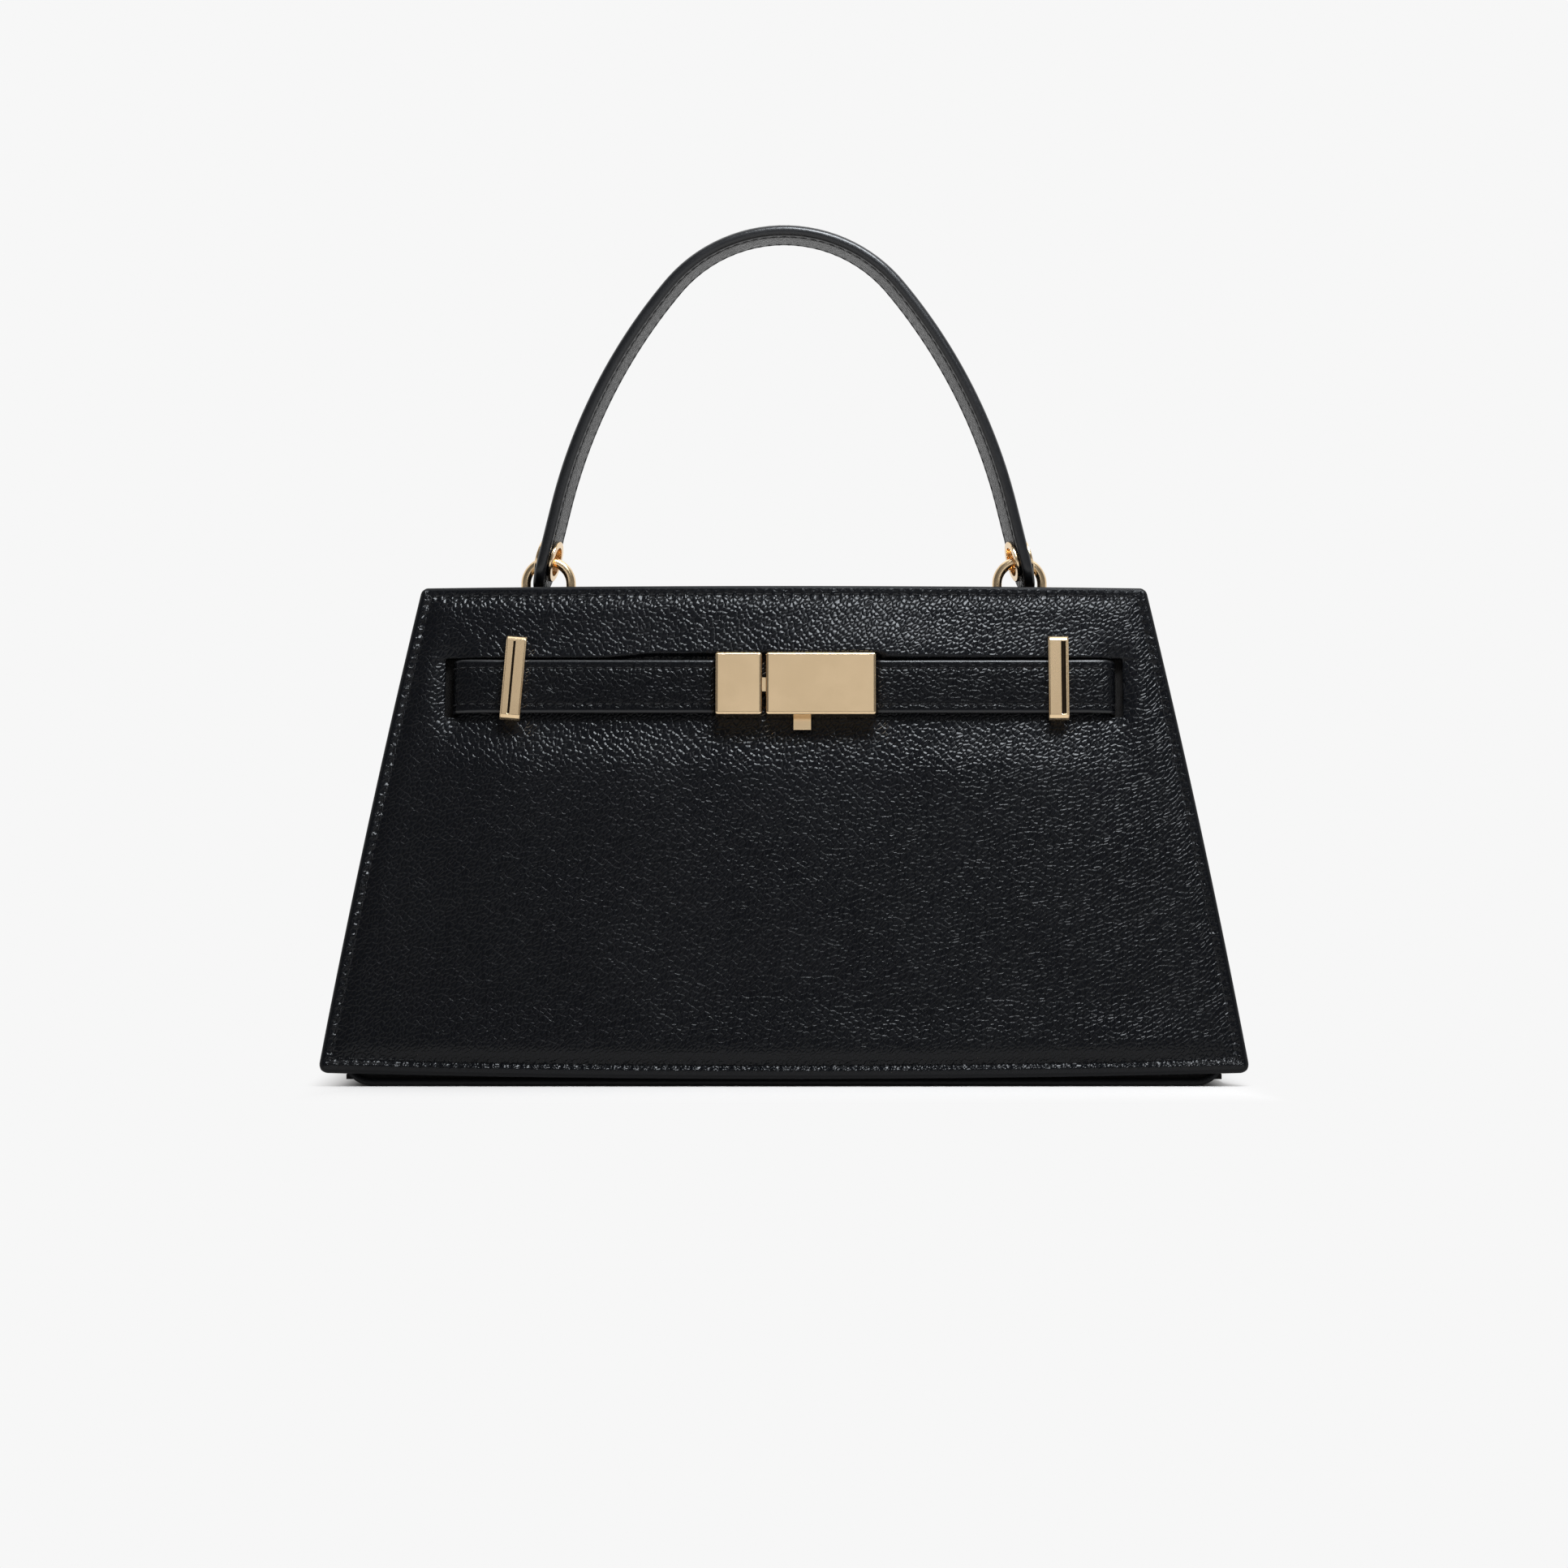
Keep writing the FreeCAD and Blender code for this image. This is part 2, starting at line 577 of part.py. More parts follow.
def eyelet_frame(side):
    """Middle of an eyelet, half way through the strap, and its axis towards the outer face."""
    middle = handle_path(0.0, 0.0, HANDLE_SHEET / 2)
    centre = middle["end"] - middle["run"] * HANDLE_WIDTH / 2
    across = Vector(-HANDLE_FLARE, HANDLE_WIDTH, 0)
    axis = across.cross(middle["run"])
    axis.normalize()
    if axis.x < 0:
        axis = axis * -1
    if side < 0:
        centre = flipped(centre)
        axis = Vector(-axis.x, axis.y, axis.z)
    return centre, axis


def eyelet_body(side):
    """Eyelet with its tube through the strap and its flange on the inner face."""
    centre, axis = eyelet_frame(side)
    bore = EYELET_BORE / 2
    face = HANDLE_SHEET / 2 + EYELET_CLEARANCE
    tube_foot = centre - axis * (face + EYELET_FLANGE)
    tube = Part.makeCylinder(bore + EYELET_TUBE, 2 * face + 2 * EYELET_FLANGE, tube_foot, axis)
    flange = Part.makeCylinder(EYELET_RIM / 2, EYELET_FLANGE, tube_foot, axis)
    rim_edges = [e for e in flange.Edges if isinstance(e.Curve, Part.Circle)
                 and (e.CenterOfMass - tube_foot).Length < EYELET_FLANGE / 2]
    flange = flange.makeFillet(EYELET_FLANGE / 2, rim_edges)
    hole = Part.makeCylinder(bore, 4 * HANDLE_SHEET, centre - axis * 2 * HANDLE_SHEET, axis)
    return tube.fuse(flange).cut(hole)


def eyelet_washer(side):
    """Washer of an eyelet, on the strap's outer face."""
    centre, axis = eyelet_frame(side)
    foot = centre + axis * (HANDLE_SHEET / 2 + EYELET_CLEARANCE)
    washer = Part.makeCylinder(EYELET_RIM / 2, EYELET_FLANGE, foot, axis)
    top_edges = [e for e in washer.Edges if isinstance(e.Curve, Part.Circle)
                 and (e.CenterOfMass - foot).Length > EYELET_FLANGE / 2]
    washer = washer.makeFillet(EYELET_FLANGE / 2, top_edges)
    hole = Part.makeCylinder(EYELET_BORE / 2 + EYELET_TUBE + EYELET_CLEARANCE, 2 * EYELET_FLANGE, foot, axis)
    return washer.cut(hole)


def ring_apex_height():
    """Height of the wire's middle at the top of a ring, where the handle hangs on it."""
    return eyelet_frame(1)[0].z - RING_DROP


def ring_bar_height():
    """Height of the wire's middle at the straight bar of a ring, where the tab holds it."""
    return ring_apex_height() - (RING_TALL - RING_WIRE)


def ring(side):
    """Round-topped ring with a straight bar at its foot."""
    across = eyelet_frame(side)[0].x
    half = (RING_WIDTH - RING_WIRE) / 2
    top = ring_apex_height()
    bar = ring_bar_height()
    shoulder = top - half
    bend = RING_CORNER * (1 - math.sqrt(0.5))

    def at(x, z):
        """Point of the ring's middle line."""
        return Vector(across + x, 0, z)

    edges = [Part.makeLine(at(0, bar), at(half - RING_CORNER, bar)),
             arc(at(half - RING_CORNER, bar), at(half - bend, bar + bend), at(half, bar + RING_CORNER)),
             Part.makeLine(at(half, bar + RING_CORNER), at(half, shoulder)),
             arc(at(half, shoulder), at(0, top), at(-half, shoulder)),
             Part.makeLine(at(-half, shoulder), at(-half, bar + RING_CORNER)),
             arc(at(-half, bar + RING_CORNER), at(bend - half, bar + bend), at(RING_CORNER - half, bar)),
             Part.makeLine(at(RING_CORNER - half, bar), at(0, bar))]
    path = Part.Wire(edges)
    section = Part.Wire(Part.makeCircle(WIRE_RADIUS, at(0, bar), Vector(1, 0, 0)))
    return path.makePipeShell([section], True, False)


def ring_tab(side):
    """Leather loop round a ring's bar, with a leg on each face of the divider."""
    across = eyelet_frame(side)[0].x
    bar = ring_bar_height()
    inner = max(DIVIDER_HALF, WIRE_RADIUS + RING_CLEARANCE)
    outer = inner + TAB_STRAP_SHEET
    low = bar - TAB_NECK - TAB_STRAP_LENGTH
    start = across - TAB_STRAP_WIDTH / 2

    def at(y, z):
        """Point of the loop's outline."""
        return Vector(start, y, z)

    outline = Part.Wire([arc(at(-outer, bar), at(0, bar + outer), at(outer, bar)),
                         Part.makeLine(at(outer, bar), at(outer, low)),
                         Part.makeLine(at(outer, low), at(inner, low)),
                         Part.makeLine(at(inner, low), at(inner, bar)),
                         arc(at(inner, bar), at(0, bar + inner), at(-inner, bar)),
                         Part.makeLine(at(-inner, bar), at(-inner, low)),
                         Part.makeLine(at(-inner, low), at(-outer, low)),
                         Part.makeLine(at(-outer, low), at(-outer, bar))])
    return Part.Face(outline).extrude(Vector(TAB_STRAP_WIDTH, 0, 0))


def build():
    """All sub-parts by name, each a list of solids."""
    sides = {"left": -1, "right": 1}
    lining_back = BOARD_BACK + LINING
    board_top = BASE_SHEET + BASE_BOARD
    half_board = DIVIDER_BOARD / 2
    end_setback = seam_reach(FLOOR_GAP) - fold_reach(BASE_TOP) + GUSSET_SHEET + SEAM_GAP
    side_setback = FLANGE_SHEET + 2 * SEAM_GAP
    nodes = {
        "front_panel": [front_panel()],
        "front_board": [front_board()],
        "front_lining": [lean_front(wall_sheet(BOARD_BACK, lining_back, LINING_INSET))],
        "back_panel": [lean_back(wall_sheet(0.0, PANEL_SHEET, 0.0))],
        "back_board": [lean_back(wall_sheet(PANEL_SHEET, BOARD_BACK, BOARD_INSET))],
        "back_lining": [lean_back(wall_sheet(BOARD_BACK, lining_back, LINING_INSET))],
        "base_panel": [base_panel()],
        "base_board": [base_layer(BASE_SHEET, board_top, end_setback, side_setback)],
        "base_lining": [base_layer(board_top, BASE_TOP, end_setback, side_setback)],
        "divider_front": [divider_sheet(-DIVIDER_HALF, -half_board)],
        "divider_board": [divider_sheet(-half_board, half_board)],
        "divider_back": [divider_sheet(half_board, DIVIDER_HALF)],
        "keeper_washers": [keeper_washer(side) for side in sides.values()],
        "belt_left": [belt(-1, CATCH_LEFT)],
        "belt_right": [belt(1, LOCK_RIGHT)],
        "catch_case": [catch_case()],
        "catch_back": [back_plate(CATCH_LEFT, CATCH_RIGHT, CATCH_LEFT, -1)],
        "catch_screws": lean_front(clasp_screws(CATCH_LEFT, -1, 0.0)).Solids,
        "catch_tongue": [catch_tongue()],
        "lock_case": [lock_case()],
        "lock_back": [back_plate(LOCK_LEFT, LOCK_RIGHT, LOCK_RIGHT, 1)],
        "lock_screws": lean_front(clasp_screws(LOCK_RIGHT, 1, 0.0)).Solids,
        "latch": [latch()],
        "latch_spring": [latch_spring()],
        "handle_outer": [handle_layer(0.0, HANDLE_SKIN, 0.0)],
        "handle_core": [handle_layer(HANDLE_SKIN, HANDLE_SKIN + HANDLE_CORE, CORE_INSET)],
        "handle_inner": [handle_layer(HANDLE_SKIN + HANDLE_CORE, HANDLE_SHEET, 0.0)],
        "eyelet_washers": [eyelet_washer(side) for side in sides.values()],
    }
    for name, side in sides.items():
        nodes["gusset_" + name] = [gusset(side)]
        nodes["keeper_" + name] = [keeper(side)]
        nodes["ring_" + name] = [ring(side)]
        nodes["ring_tab_" + name] = [ring_tab(side)]
        nodes["eyelet_" + name] = [eyelet_body(side)]
    return nodes


def export(nodes):
    """One file for each sub-part."""
    os.makedirs("parts", exist_ok=True)
    for name, solids in nodes.items():
        shape = solids[0] if len(solids) == 1 else Part.makeCompound(solids)
        shape.exportStep("parts/" + name + ".step")
        print(name, len(shape.Solids), shape.isValid(), round(shape.Volume, 1))


export(build())
print("lean", math.degrees(LEAN), "ring bar", ring_bar_height(), "ring apex", ring_apex_height())
print("eyelet", eyelet_frame(1)[0])
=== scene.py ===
"""Looks of a black leather top handle bag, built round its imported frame.

Sizes in the classes are millimetres, as on a maker's pattern. Meshes are in metres, in the
frame's own place: +Z is up and the belted front wall faces -Y.
"""
from __future__ import annotations

import json
import logging
import math
from collections.abc import Callable, Iterable, Sequence
from dataclasses import dataclass, field, replace
from enum import Enum
from functools import cached_property
from typing import Any

import bmesh
import bpy
from bpy.types import Material, Mesh, Node, NodeSocket, NodeTree, Object
from mathutils import Matrix, Vector, noise

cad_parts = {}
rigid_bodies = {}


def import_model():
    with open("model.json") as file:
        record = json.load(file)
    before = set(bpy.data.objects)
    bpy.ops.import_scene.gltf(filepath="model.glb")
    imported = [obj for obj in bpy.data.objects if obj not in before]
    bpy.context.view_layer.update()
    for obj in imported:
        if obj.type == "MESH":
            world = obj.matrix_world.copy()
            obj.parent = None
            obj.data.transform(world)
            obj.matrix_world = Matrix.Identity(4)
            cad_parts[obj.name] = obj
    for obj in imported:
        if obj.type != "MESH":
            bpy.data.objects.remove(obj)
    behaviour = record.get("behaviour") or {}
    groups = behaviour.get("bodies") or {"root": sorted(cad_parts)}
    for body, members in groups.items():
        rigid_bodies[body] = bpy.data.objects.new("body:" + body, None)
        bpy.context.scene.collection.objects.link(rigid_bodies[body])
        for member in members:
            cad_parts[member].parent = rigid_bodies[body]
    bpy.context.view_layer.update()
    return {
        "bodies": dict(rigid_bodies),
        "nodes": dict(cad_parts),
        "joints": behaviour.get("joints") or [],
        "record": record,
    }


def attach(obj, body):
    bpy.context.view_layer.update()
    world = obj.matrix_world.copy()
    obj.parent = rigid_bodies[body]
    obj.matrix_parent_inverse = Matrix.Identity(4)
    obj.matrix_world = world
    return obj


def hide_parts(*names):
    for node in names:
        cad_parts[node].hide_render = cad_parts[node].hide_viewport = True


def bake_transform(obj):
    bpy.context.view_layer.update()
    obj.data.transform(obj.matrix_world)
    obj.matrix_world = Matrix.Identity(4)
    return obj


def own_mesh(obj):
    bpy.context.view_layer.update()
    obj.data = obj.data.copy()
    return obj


MM = 0.001
GRAIN_UV = "grain"
CLOTH_RIM = (0.0, 0.05, 0.15, 0.3, 0.8, 2.0, 4.0)
MERGE_GAP = 1e-6
FLAT_GAP = 1e-7
Pair = tuple[float, float]
Triple = tuple[float, float, float]
Waves = tuple[float, float, float, float]
Colour = tuple[float, float, float, float]
Depth = Callable[[float, float, float], float]
Placer = Callable[[float, float, float], Vector]
log = logging.getLogger("bag")


class Body(Enum):
    """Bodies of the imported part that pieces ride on."""

    CARCASS = "carcass"
    FRONT = "front_wall"
    CATCH = "catch"
    HANDLE = "handle"


class Slot(Enum):
    """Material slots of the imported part."""

    BODY = "body_leather"
    STRAP = "strap_leather"
    LINING = "lining_cloth"
    BOARD = "stiffener_board"
    GOLD = "gold_metal"
    STEEL = "steel"


class Look(Enum):
    """Finishes of the bag, with the names of their materials. Each slot has one of its own name."""

    BODY = "body_leather"
    STRAP = "strap_leather"
    PAINT = "edge_paint"
    STRAP_PAINT = "strap_edge_paint"
    THREAD = "sewing_thread"
    GOLD = "pale_gold"
    # Dark line painted along the keepers' groove, standing in for a dark reflection and shade.
    PATINA = "dark_patina"
    STEEL = "plain_steel"
    LINING = "twill_lining"
    # The boards are coloured near-black as painted shade, so the belt slots and the gap under the panels
    # read dark.
    BOARD = "fibre_board"


class Side(Enum):
    """Left or right of the bag, as seen from the front."""

    LEFT = -1
    RIGHT = 1

    @property
    def word(self) -> str:
        """Lower case name, as the frame's nodes have it."""
        return self.name.lower()


def smooth_step(low: float, high: float, value: float) -> float:
    """Eased share of the way from low to high, 0 to 1."""
    share = min(1.0, max(0.0, (value - low) / (high - low)))
    return share * share * (3.0 - 2.0 * share)


def bell(offset: float, width: float) -> float:
    """Smooth hump, 1 at no offset."""
    return math.exp(-((offset / width) ** 2))


def between(first: float, last: float, share: float) -> float:
    """Value at a share of the way from first to last."""
    return first + (last - first) * share


def spread(first: float, last: float, count: int) -> list[float]:
    """Values from first to last in even steps."""
    return [between(first, last, i / count) for i in range(count + 1)]


def arc(degrees: float, count: int) -> list[Pair]:
    """Sine and cosine of even steps of an angle, from 0."""
    return [(math.sin(turn), math.cos(turn)) for turn in spread(0.0, math.radians(degrees), count)]


def rim_round(rim: float, radius: float) -> float:
    """How far a rounded rim falls back from its face, at a distance from the edge."""
    short = max(0.0, radius - rim)
    return radius - math.sqrt(max(0.0, radius ** 2 - short ** 2))


def ripple(x: float, z: float, waves: Waves) -> float:
    """Smooth unevenness at a place, from its height, its sizes across and up, and its seed."""
    height, wide, tall, seed = waves
    return height * noise.noise(Vector((x / wide, z / tall, seed)))


def flipped(way: Vector) -> Vector:
    """The same vector on the other side of the bag."""
    return Vector((-way.x, way.y, way.z))


def link(name: str, data: Any) -> Object:
    """Put a new object in the scene, at the origin.

    Args:
        name: Name of the object.
        data: Its mesh, lamp or camera.

    Returns:
        The new object.
    """
    made = bpy.data.objects.new(name, data)
    bpy.context.scene.collection.objects.link(made)
    return made


class Wiring:
    """Adds and joins nodes in one node tree."""

    def __init__(self, tree: NodeTree) -> None:
        """Keep the tree and empty it."""
        self.tree = tree
        tree.nodes.clear()

    def node(self, kind: str, **settings: Any) -> Node:
        """Add a node.

        Args:
            kind: Type of the node.
            **settings: Properties to set on it.

        Returns:
            The new node.
        """
        made = self.tree.nodes.new(kind)
        for name, value in settings.items():
            setattr(made, name, value)
        return made

    def feed(self, socket: NodeSocket, value: Any) -> None:
        """Link another socket to an input, or set its value.

        Args:
            socket: Input to feed.
            value: Output socket, number, vector or colour.
        """
        if isinstance(value, NodeSocket):
            self.tree.links.new(value, socket)
        else:
            socket.default_value = value

    def put(self, kind: str, feeds: dict[str | int, Any], out: str | int = 0, **settings: Any) -> NodeSocket:
        """Add a node with its inputs fed.

        Args:
            kind: Type of the node.
            feeds: What goes into each input, by name or place.
            out: Name or place of the output that is wanted.
            **settings: Properties to set on the node.

        Returns:
            The wanted output.
        """
        made = self.node(kind, **settings)
        for key, value in feeds.items():
            self.feed(made.inputs[key], value)
        return made.outputs[out]

    def math(self, operation: str, first: Any, second: Any = 0.0) -> NodeSocket:
        """Result of a math node on two values."""
        return self.put("ShaderNodeMath", {0: first, 1: second}, operation=operation)

    def move(self, operation: str, first: Any, second: Any) -> NodeSocket:
        """Result of a vector math node, on two vectors or on a vector and its scale."""
        key = "Scale" if operation == "SCALE" else 1
        return self.put("ShaderNodeVectorMath", {0: first, key: second}, operation=operation)

    def remap(self, value: Any, low: Any, high: Any, to_low: Any = 0.0, to_high: Any = 1.0) -> NodeSocket:
        """Value moved smoothly from one range to another."""
        feeds = {"Value": value, "From Min": low, "From Max": high, "To Min": to_low, "To Max": to_high}
        return self.put("ShaderNodeMapRange", feeds, interpolation_type="SMOOTHSTEP")

    def mix(self, share: Any, first: Any, second: Any) -> NodeSocket:
        """Colour between two colours."""
        return self.put("ShaderNodeMix", {0: share, 6: first, 7: second}, 2, data_type="RGBA")

    def noise(self, place: NodeSocket, scale: float, detail: float = 2.0, out: str = "Fac") -> NodeSocket:
        """Noise texture over a surface."""
        return self.put("ShaderNodeTexNoise", {"Vector": place, "Scale": scale, "Detail": detail}, out)

    def attribute(self, name: str) -> NodeSocket:
        """Value that the mesh's points carry."""
        return self.put("ShaderNodeAttribute", {}, "Fac", attribute_name=name)

    def axes(self, place: NodeSocket) -> Any:
        """Sockets X, Y and Z of a place."""
        return self.put("ShaderNodeSeparateXYZ", {0: place}).node.outputs


def open_group(name: str, inputs: dict[str, float | None], *outputs: str) -> tuple[Wiring, Any, Any]:
    """Make a shader group's tree with its sockets.

    Args:
        name: Name of the group.
        inputs: Default of each input, or None for a vector.
        *outputs: Names of its outputs.

    Returns:
        The tree's wiring, the sockets that its inputs arrive at and those that its outputs leave by.
    """
    tree = bpy.data.node_groups.new(name, "ShaderNodeTree")
    for key, default in inputs.items():
        kind = "NodeSocketVector" if default is None else "NodeSocketFloat"
        socket = tree.interface.new_socket(key, in_out="INPUT", socket_type=kind)
        if default is not None:
            socket.default_value = default
    for key in outputs:
        tree.interface.new_socket(key, in_out="OUTPUT", socket_type="NodeSocketFloat")
    wires = Wiring(tree)
    return wires, wires.node("NodeGroupInput").outputs, wires.node("NodeGroupOutput").inputs


class SharedEffects:
    """Shader groups that several finishes use, each built once."""

    drift: float = 0.0016
    drift_scale: float = 240.0
    dome_half: float = 0.44
    dome_share: float = 0.75
    relief_scale: float = 300.0
    relief_share: float = 0.40
    calmed: float = 0.82
    crease_wide: float = 0.14
    wear_span: Pair = (0.3, 0.7)
    pick_scale: float = 1700.0
    pick_share: float = 0.5

    def __init__(self) -> None:
        """Build the groups."""
        self.grain = self.pebble_grain()
        self.wear = self.handling_wear()
        self.twill = self.twill_weave()

    def pebble_grain(self) -> NodeTree:
        """Rounded leather pebbles with creases between them, flowing on the diagonal.

        Returns:
            The group, which gives the height and the crease, 0 to 1.
        """
        wires, source, target = open_group("PebbleGrain", {"Vector": None, "Cells": 640.0, "Calm": 0.0},
                                           "Height", "Crease")
        feeds = {"Vector": source["Vector"], "Rotation": (0.0, 0.0, 0.80), "Scale": (1.32, 0.82, 1.0)}
        flow = wires.put("ShaderNodeMapping", feeds, vector_type="TEXTURE")
        drift = wires.move("SUBTRACT", wires.noise(flow, self.drift_scale, out="Color"), (0.5, 0.5, 0.5))
        place = wires.move("ADD", flow, wires.move("SCALE", drift, self.drift))
        feeds = {"Vector": place, "Scale": source["Cells"], "Randomness": 0.85}
        gap = wires.put("ShaderNodeTexVoronoi", feeds, "Distance", feature="DISTANCE_TO_EDGE",
                        voronoi_dimensions="2D")
        inward = wires.math("MINIMUM", wires.math("DIVIDE", gap, self.dome_half), 1.0)
        short = wires.math("SUBTRACT", 1.0, inward)
        dome = wires.math("SUBTRACT", 1.0, wires.math("MULTIPLY", short, short))
        relief = wires.math("MULTIPLY", wires.noise(place, self.relief_scale), self.relief_share)
        height = wires.math("ADD", wires.math("MULTIPLY", dome, self.dome_share), relief)
        kept = wires.math("SUBTRACT", 1.0, wires.math("MULTIPLY", source["Calm"], self.calmed))
        wires.feed(target["Height"], wires.math("MULTIPLY", height, kept))
        crease = wires.remap(gap, 0.0, self.crease_wide, 1.0, 0.0)
        wires.feed(target["Crease"], wires.math("MULTIPLY", crease, kept))
        return wires.tree

    def handling_wear(self) -> NodeTree:
        """Slow and fine variation that breaks up gloss.

        Returns:
            The group, which gives a value between its two ends.
        """
        wires, source, target = open_group("HandlingWear", {"Vector": None, "Scale": 30.0, "Low": 0.0,
                                                            "High": 1.0}, "Value")
        feeds = {"Vector": source["Vector"], "Scale": source["Scale"], "Detail": 4.0, "Roughness": 0.6}
        broad = wires.put("ShaderNodeTexNoise", feeds, "Fac")
        wires.feed(target["Value"], wires.remap(broad, *self.wear_span, source["Low"], source["High"]))
        return wires.tree

    def twill_weave(self) -> NodeTree:
        """Diagonal ribs of a twill cloth.

        Returns:
            The group, which gives the height.
        """
        wires, source, target = open_group("TwillWeave", {"Vector": None, "Ribs": 900.0}, "Height")
        turned = wires.put("ShaderNodeMapping", {"Vector": source["Vector"], "Rotation": (0.5, 0.78, 0.4)})
        feeds = {"Vector": turned, "Scale": source["Ribs"], "Distortion": 0.6, "Detail": 1.0}
        picks = wires.math("MULTIPLY", wires.noise(source["Vector"], self.pick_scale), self.pick_share)
        wires.feed(target["Height"], wires.math("ADD", wires.put("ShaderNodeTexWave", feeds, "Fac"), picks))
        return wires.tree


@dataclass(frozen=True)
class Surface:
    """A material while its finish is laid on it."""

    effects: SharedEffects
    wires: Wiring
    shader: Node
    place: NodeSocket
    wear: NodeSocket

    def feed(self, name: str, value: Any) -> None:
        """Link a socket to one of the shader's inputs, or set its value."""
        self.wires.feed(self.shader.inputs[name], value)

    def bump(self, height: NodeSocket, depth: float) -> None:
        """Give the shader a relief, with the depth in millimetres of a height of 1."""
        feeds = {"Height": height, "Distance": depth * MM, "Strength": 1.0}
        self.feed("Normal", self.wires.put("ShaderNodeBump", feeds, "Normal"))


@dataclass(frozen=True)
class Finish:
    """What every finish has: two colours, a range of gloss, the size of its wear and its shine."""

    colour: Colour
    second: Colour
    gloss: Pair
    wear_scale: float = 40.0
    shine: float = 0.5

    def material(self, name: str, effects: SharedEffects) -> Material:
        """Build the material.

        Args:
            name: Its name.
            effects: Shared groups.

        Returns:
            The new material.
        """
        material = bpy.data.materials.new(name)
        material.use_nodes = True
        material.diffuse_color = self.colour
        wires = Wiring(material.node_tree)
        shader = wires.node("ShaderNodeBsdfPrincipled")
        wires.feed(wires.node("ShaderNodeOutputMaterial").inputs["Surface"], shader.outputs["BSDF"])
        place = wires.put("ShaderNodeTexCoord", {}, "Object")
        feeds = {"Vector": place, "Scale": self.wear_scale, "Low": self.gloss[0], "High": self.gloss[1]}
        wear = wires.put("ShaderNodeGroup", feeds, "Value", node_tree=effects.wear)
        surface = Surface(effects, wires, shader, place, wear)
        surface.feed("Roughness", wear)
        surface.feed("Specular IOR Level", self.shine)
        self.shade(surface)
        return material

    def shade(self, surface: Surface) -> None:
        """Lay colour and relief on a surface."""
        raise NotImplementedError


@dataclass(frozen=True)
class Leather(Finish):
    """Pebbled leather with calmer grain along worked edges, puckers beside its stitches, and painted shade
    darkening its creases.
    """

    cells: float = 640.0
    depth: float = 0.30
    pucker: float = 0.16
    pitch: float = 3.0
    crease_dull: float = 0.12

    def shade(self, surface: Surface) -> None:
        """Lay colour and relief on a surface.

        Args:
            surface: Material that is being built.
        """
        wires = surface.wires
        feeds = {"Vector": wires.put("ShaderNodeUVMap", {}, "UV", uv_map=GRAIN_UV), "Cells": self.cells,
                 "Calm": wires.attribute("rim")}
        crease = wires.put("ShaderNodeGroup", feeds, "Crease", node_tree=surface.effects.grain)
        height = crease.node.outputs["Height"]
        # Painted shade: the creases between the pebbles take the darker second colour.
        surface.feed("Base Color", wires.mix(crease, self.colour, self.second))
        surface.feed("Roughness", wires.math("ADD", surface.wear,
                                             wires.math("MULTIPLY", crease, self.crease_dull)))
        tuck, axes = wires.attribute("tuck"), wires.axes(surface.place)
        for axis, way in (("X", 1.0), ("Z", -1.0)):
            turn = wires.math("MULTIPLY", axes[axis], math.tau / (self.pitch * MM))
            strength = wires.math("MAXIMUM", wires.math("MULTIPLY", tuck, way * self.pucker / self.depth))
            fold = wires.math("MULTIPLY", wires.math("COSINE", turn), strength)
            height = wires.math("ADD", height, fold)
        surface.bump(height, self.depth)


@dataclass(frozen=True)
class EdgePaint(Finish):
    """Smooth painted edge of a leather piece, slightly uneven."""

    uneven: Pair = (420.0, 0.08)

    def shade(self, surface: Surface) -> None:
        """Lay colour and relief on a surface."""
        surface.feed("Base Color", surface.wires.mix(surface.wear, self.colour, self.second))
        surface.bump(surface.wires.noise(surface.place, self.uneven[0]), self.uneven[1])


@dataclass(frozen=True)
class Thread(Finish):
    """Waxed sewing thread with its twist."""

    twist: float = 620.0
    depth: float = 0.10

    def shade(self, surface: Surface) -> None:
        """Lay colour and relief on a surface.

        Args:
            surface: Material that is being built.
        """
        feeds = {"Vector": surface.place, "Scale": self.twist, "Distortion": 1.5}
        twist = surface.wires.put("ShaderNodeTexWave", feeds, "Fac")
        surface.feed("Base Color", surface.wires.mix(twist, self.colour, self.second))
        surface.bump(twist, self.depth)


@dataclass(frozen=True)
class Metal(Finish):
    """Polished or plain metal with faint handling marks."""

    scratch: float = 0.012
    mark_scale: float = 260.0
    mark_detail: float = 4.0

    def shade(self, surface: Surface) -> None:
        """Lay colour and relief on a surface.

        Args:
            surface: Material that is being built.
        """
        wires = surface.wires
        share = wires.remap(surface.wear, *self.gloss)
        surface.feed("Base Color", wires.mix(share, self.colour, self.second))
        surface.feed("Metallic", 1.0)
        brushed = wires.put("ShaderNodeMapping", {"Vector": surface.place, "Scale": (1.0, 1.0, 14.0)})
        surface.bump(wires.noise(brushed, self.mark_scale, self.mark_detail), self.scratch)


@dataclass(frozen=True)
class Cloth(Finish):
    """Twill lining, or board with a fibrous face whose near-black colour is painted shade."""

    ribs: float = 900.0
    depth: float = 0.12
    sheen: float = 0.04

    def shade(self, surface: Surface) -> None:
        """Lay colour and relief on a surface.

        Args:
            surface: Material that is being built.
        """
        feeds = {"Vector": surface.place, "Ribs": self.ribs}
        weave = surface.wires.put("ShaderNodeGroup", feeds, "Height", node_tree=surface.effects.twill)
        surface.feed("Base Color", surface.wires.mix(weave, self.second, self.colour))
        surface.feed("Sheen Weight", self.sheen)
        surface.bump(weave, self.depth)


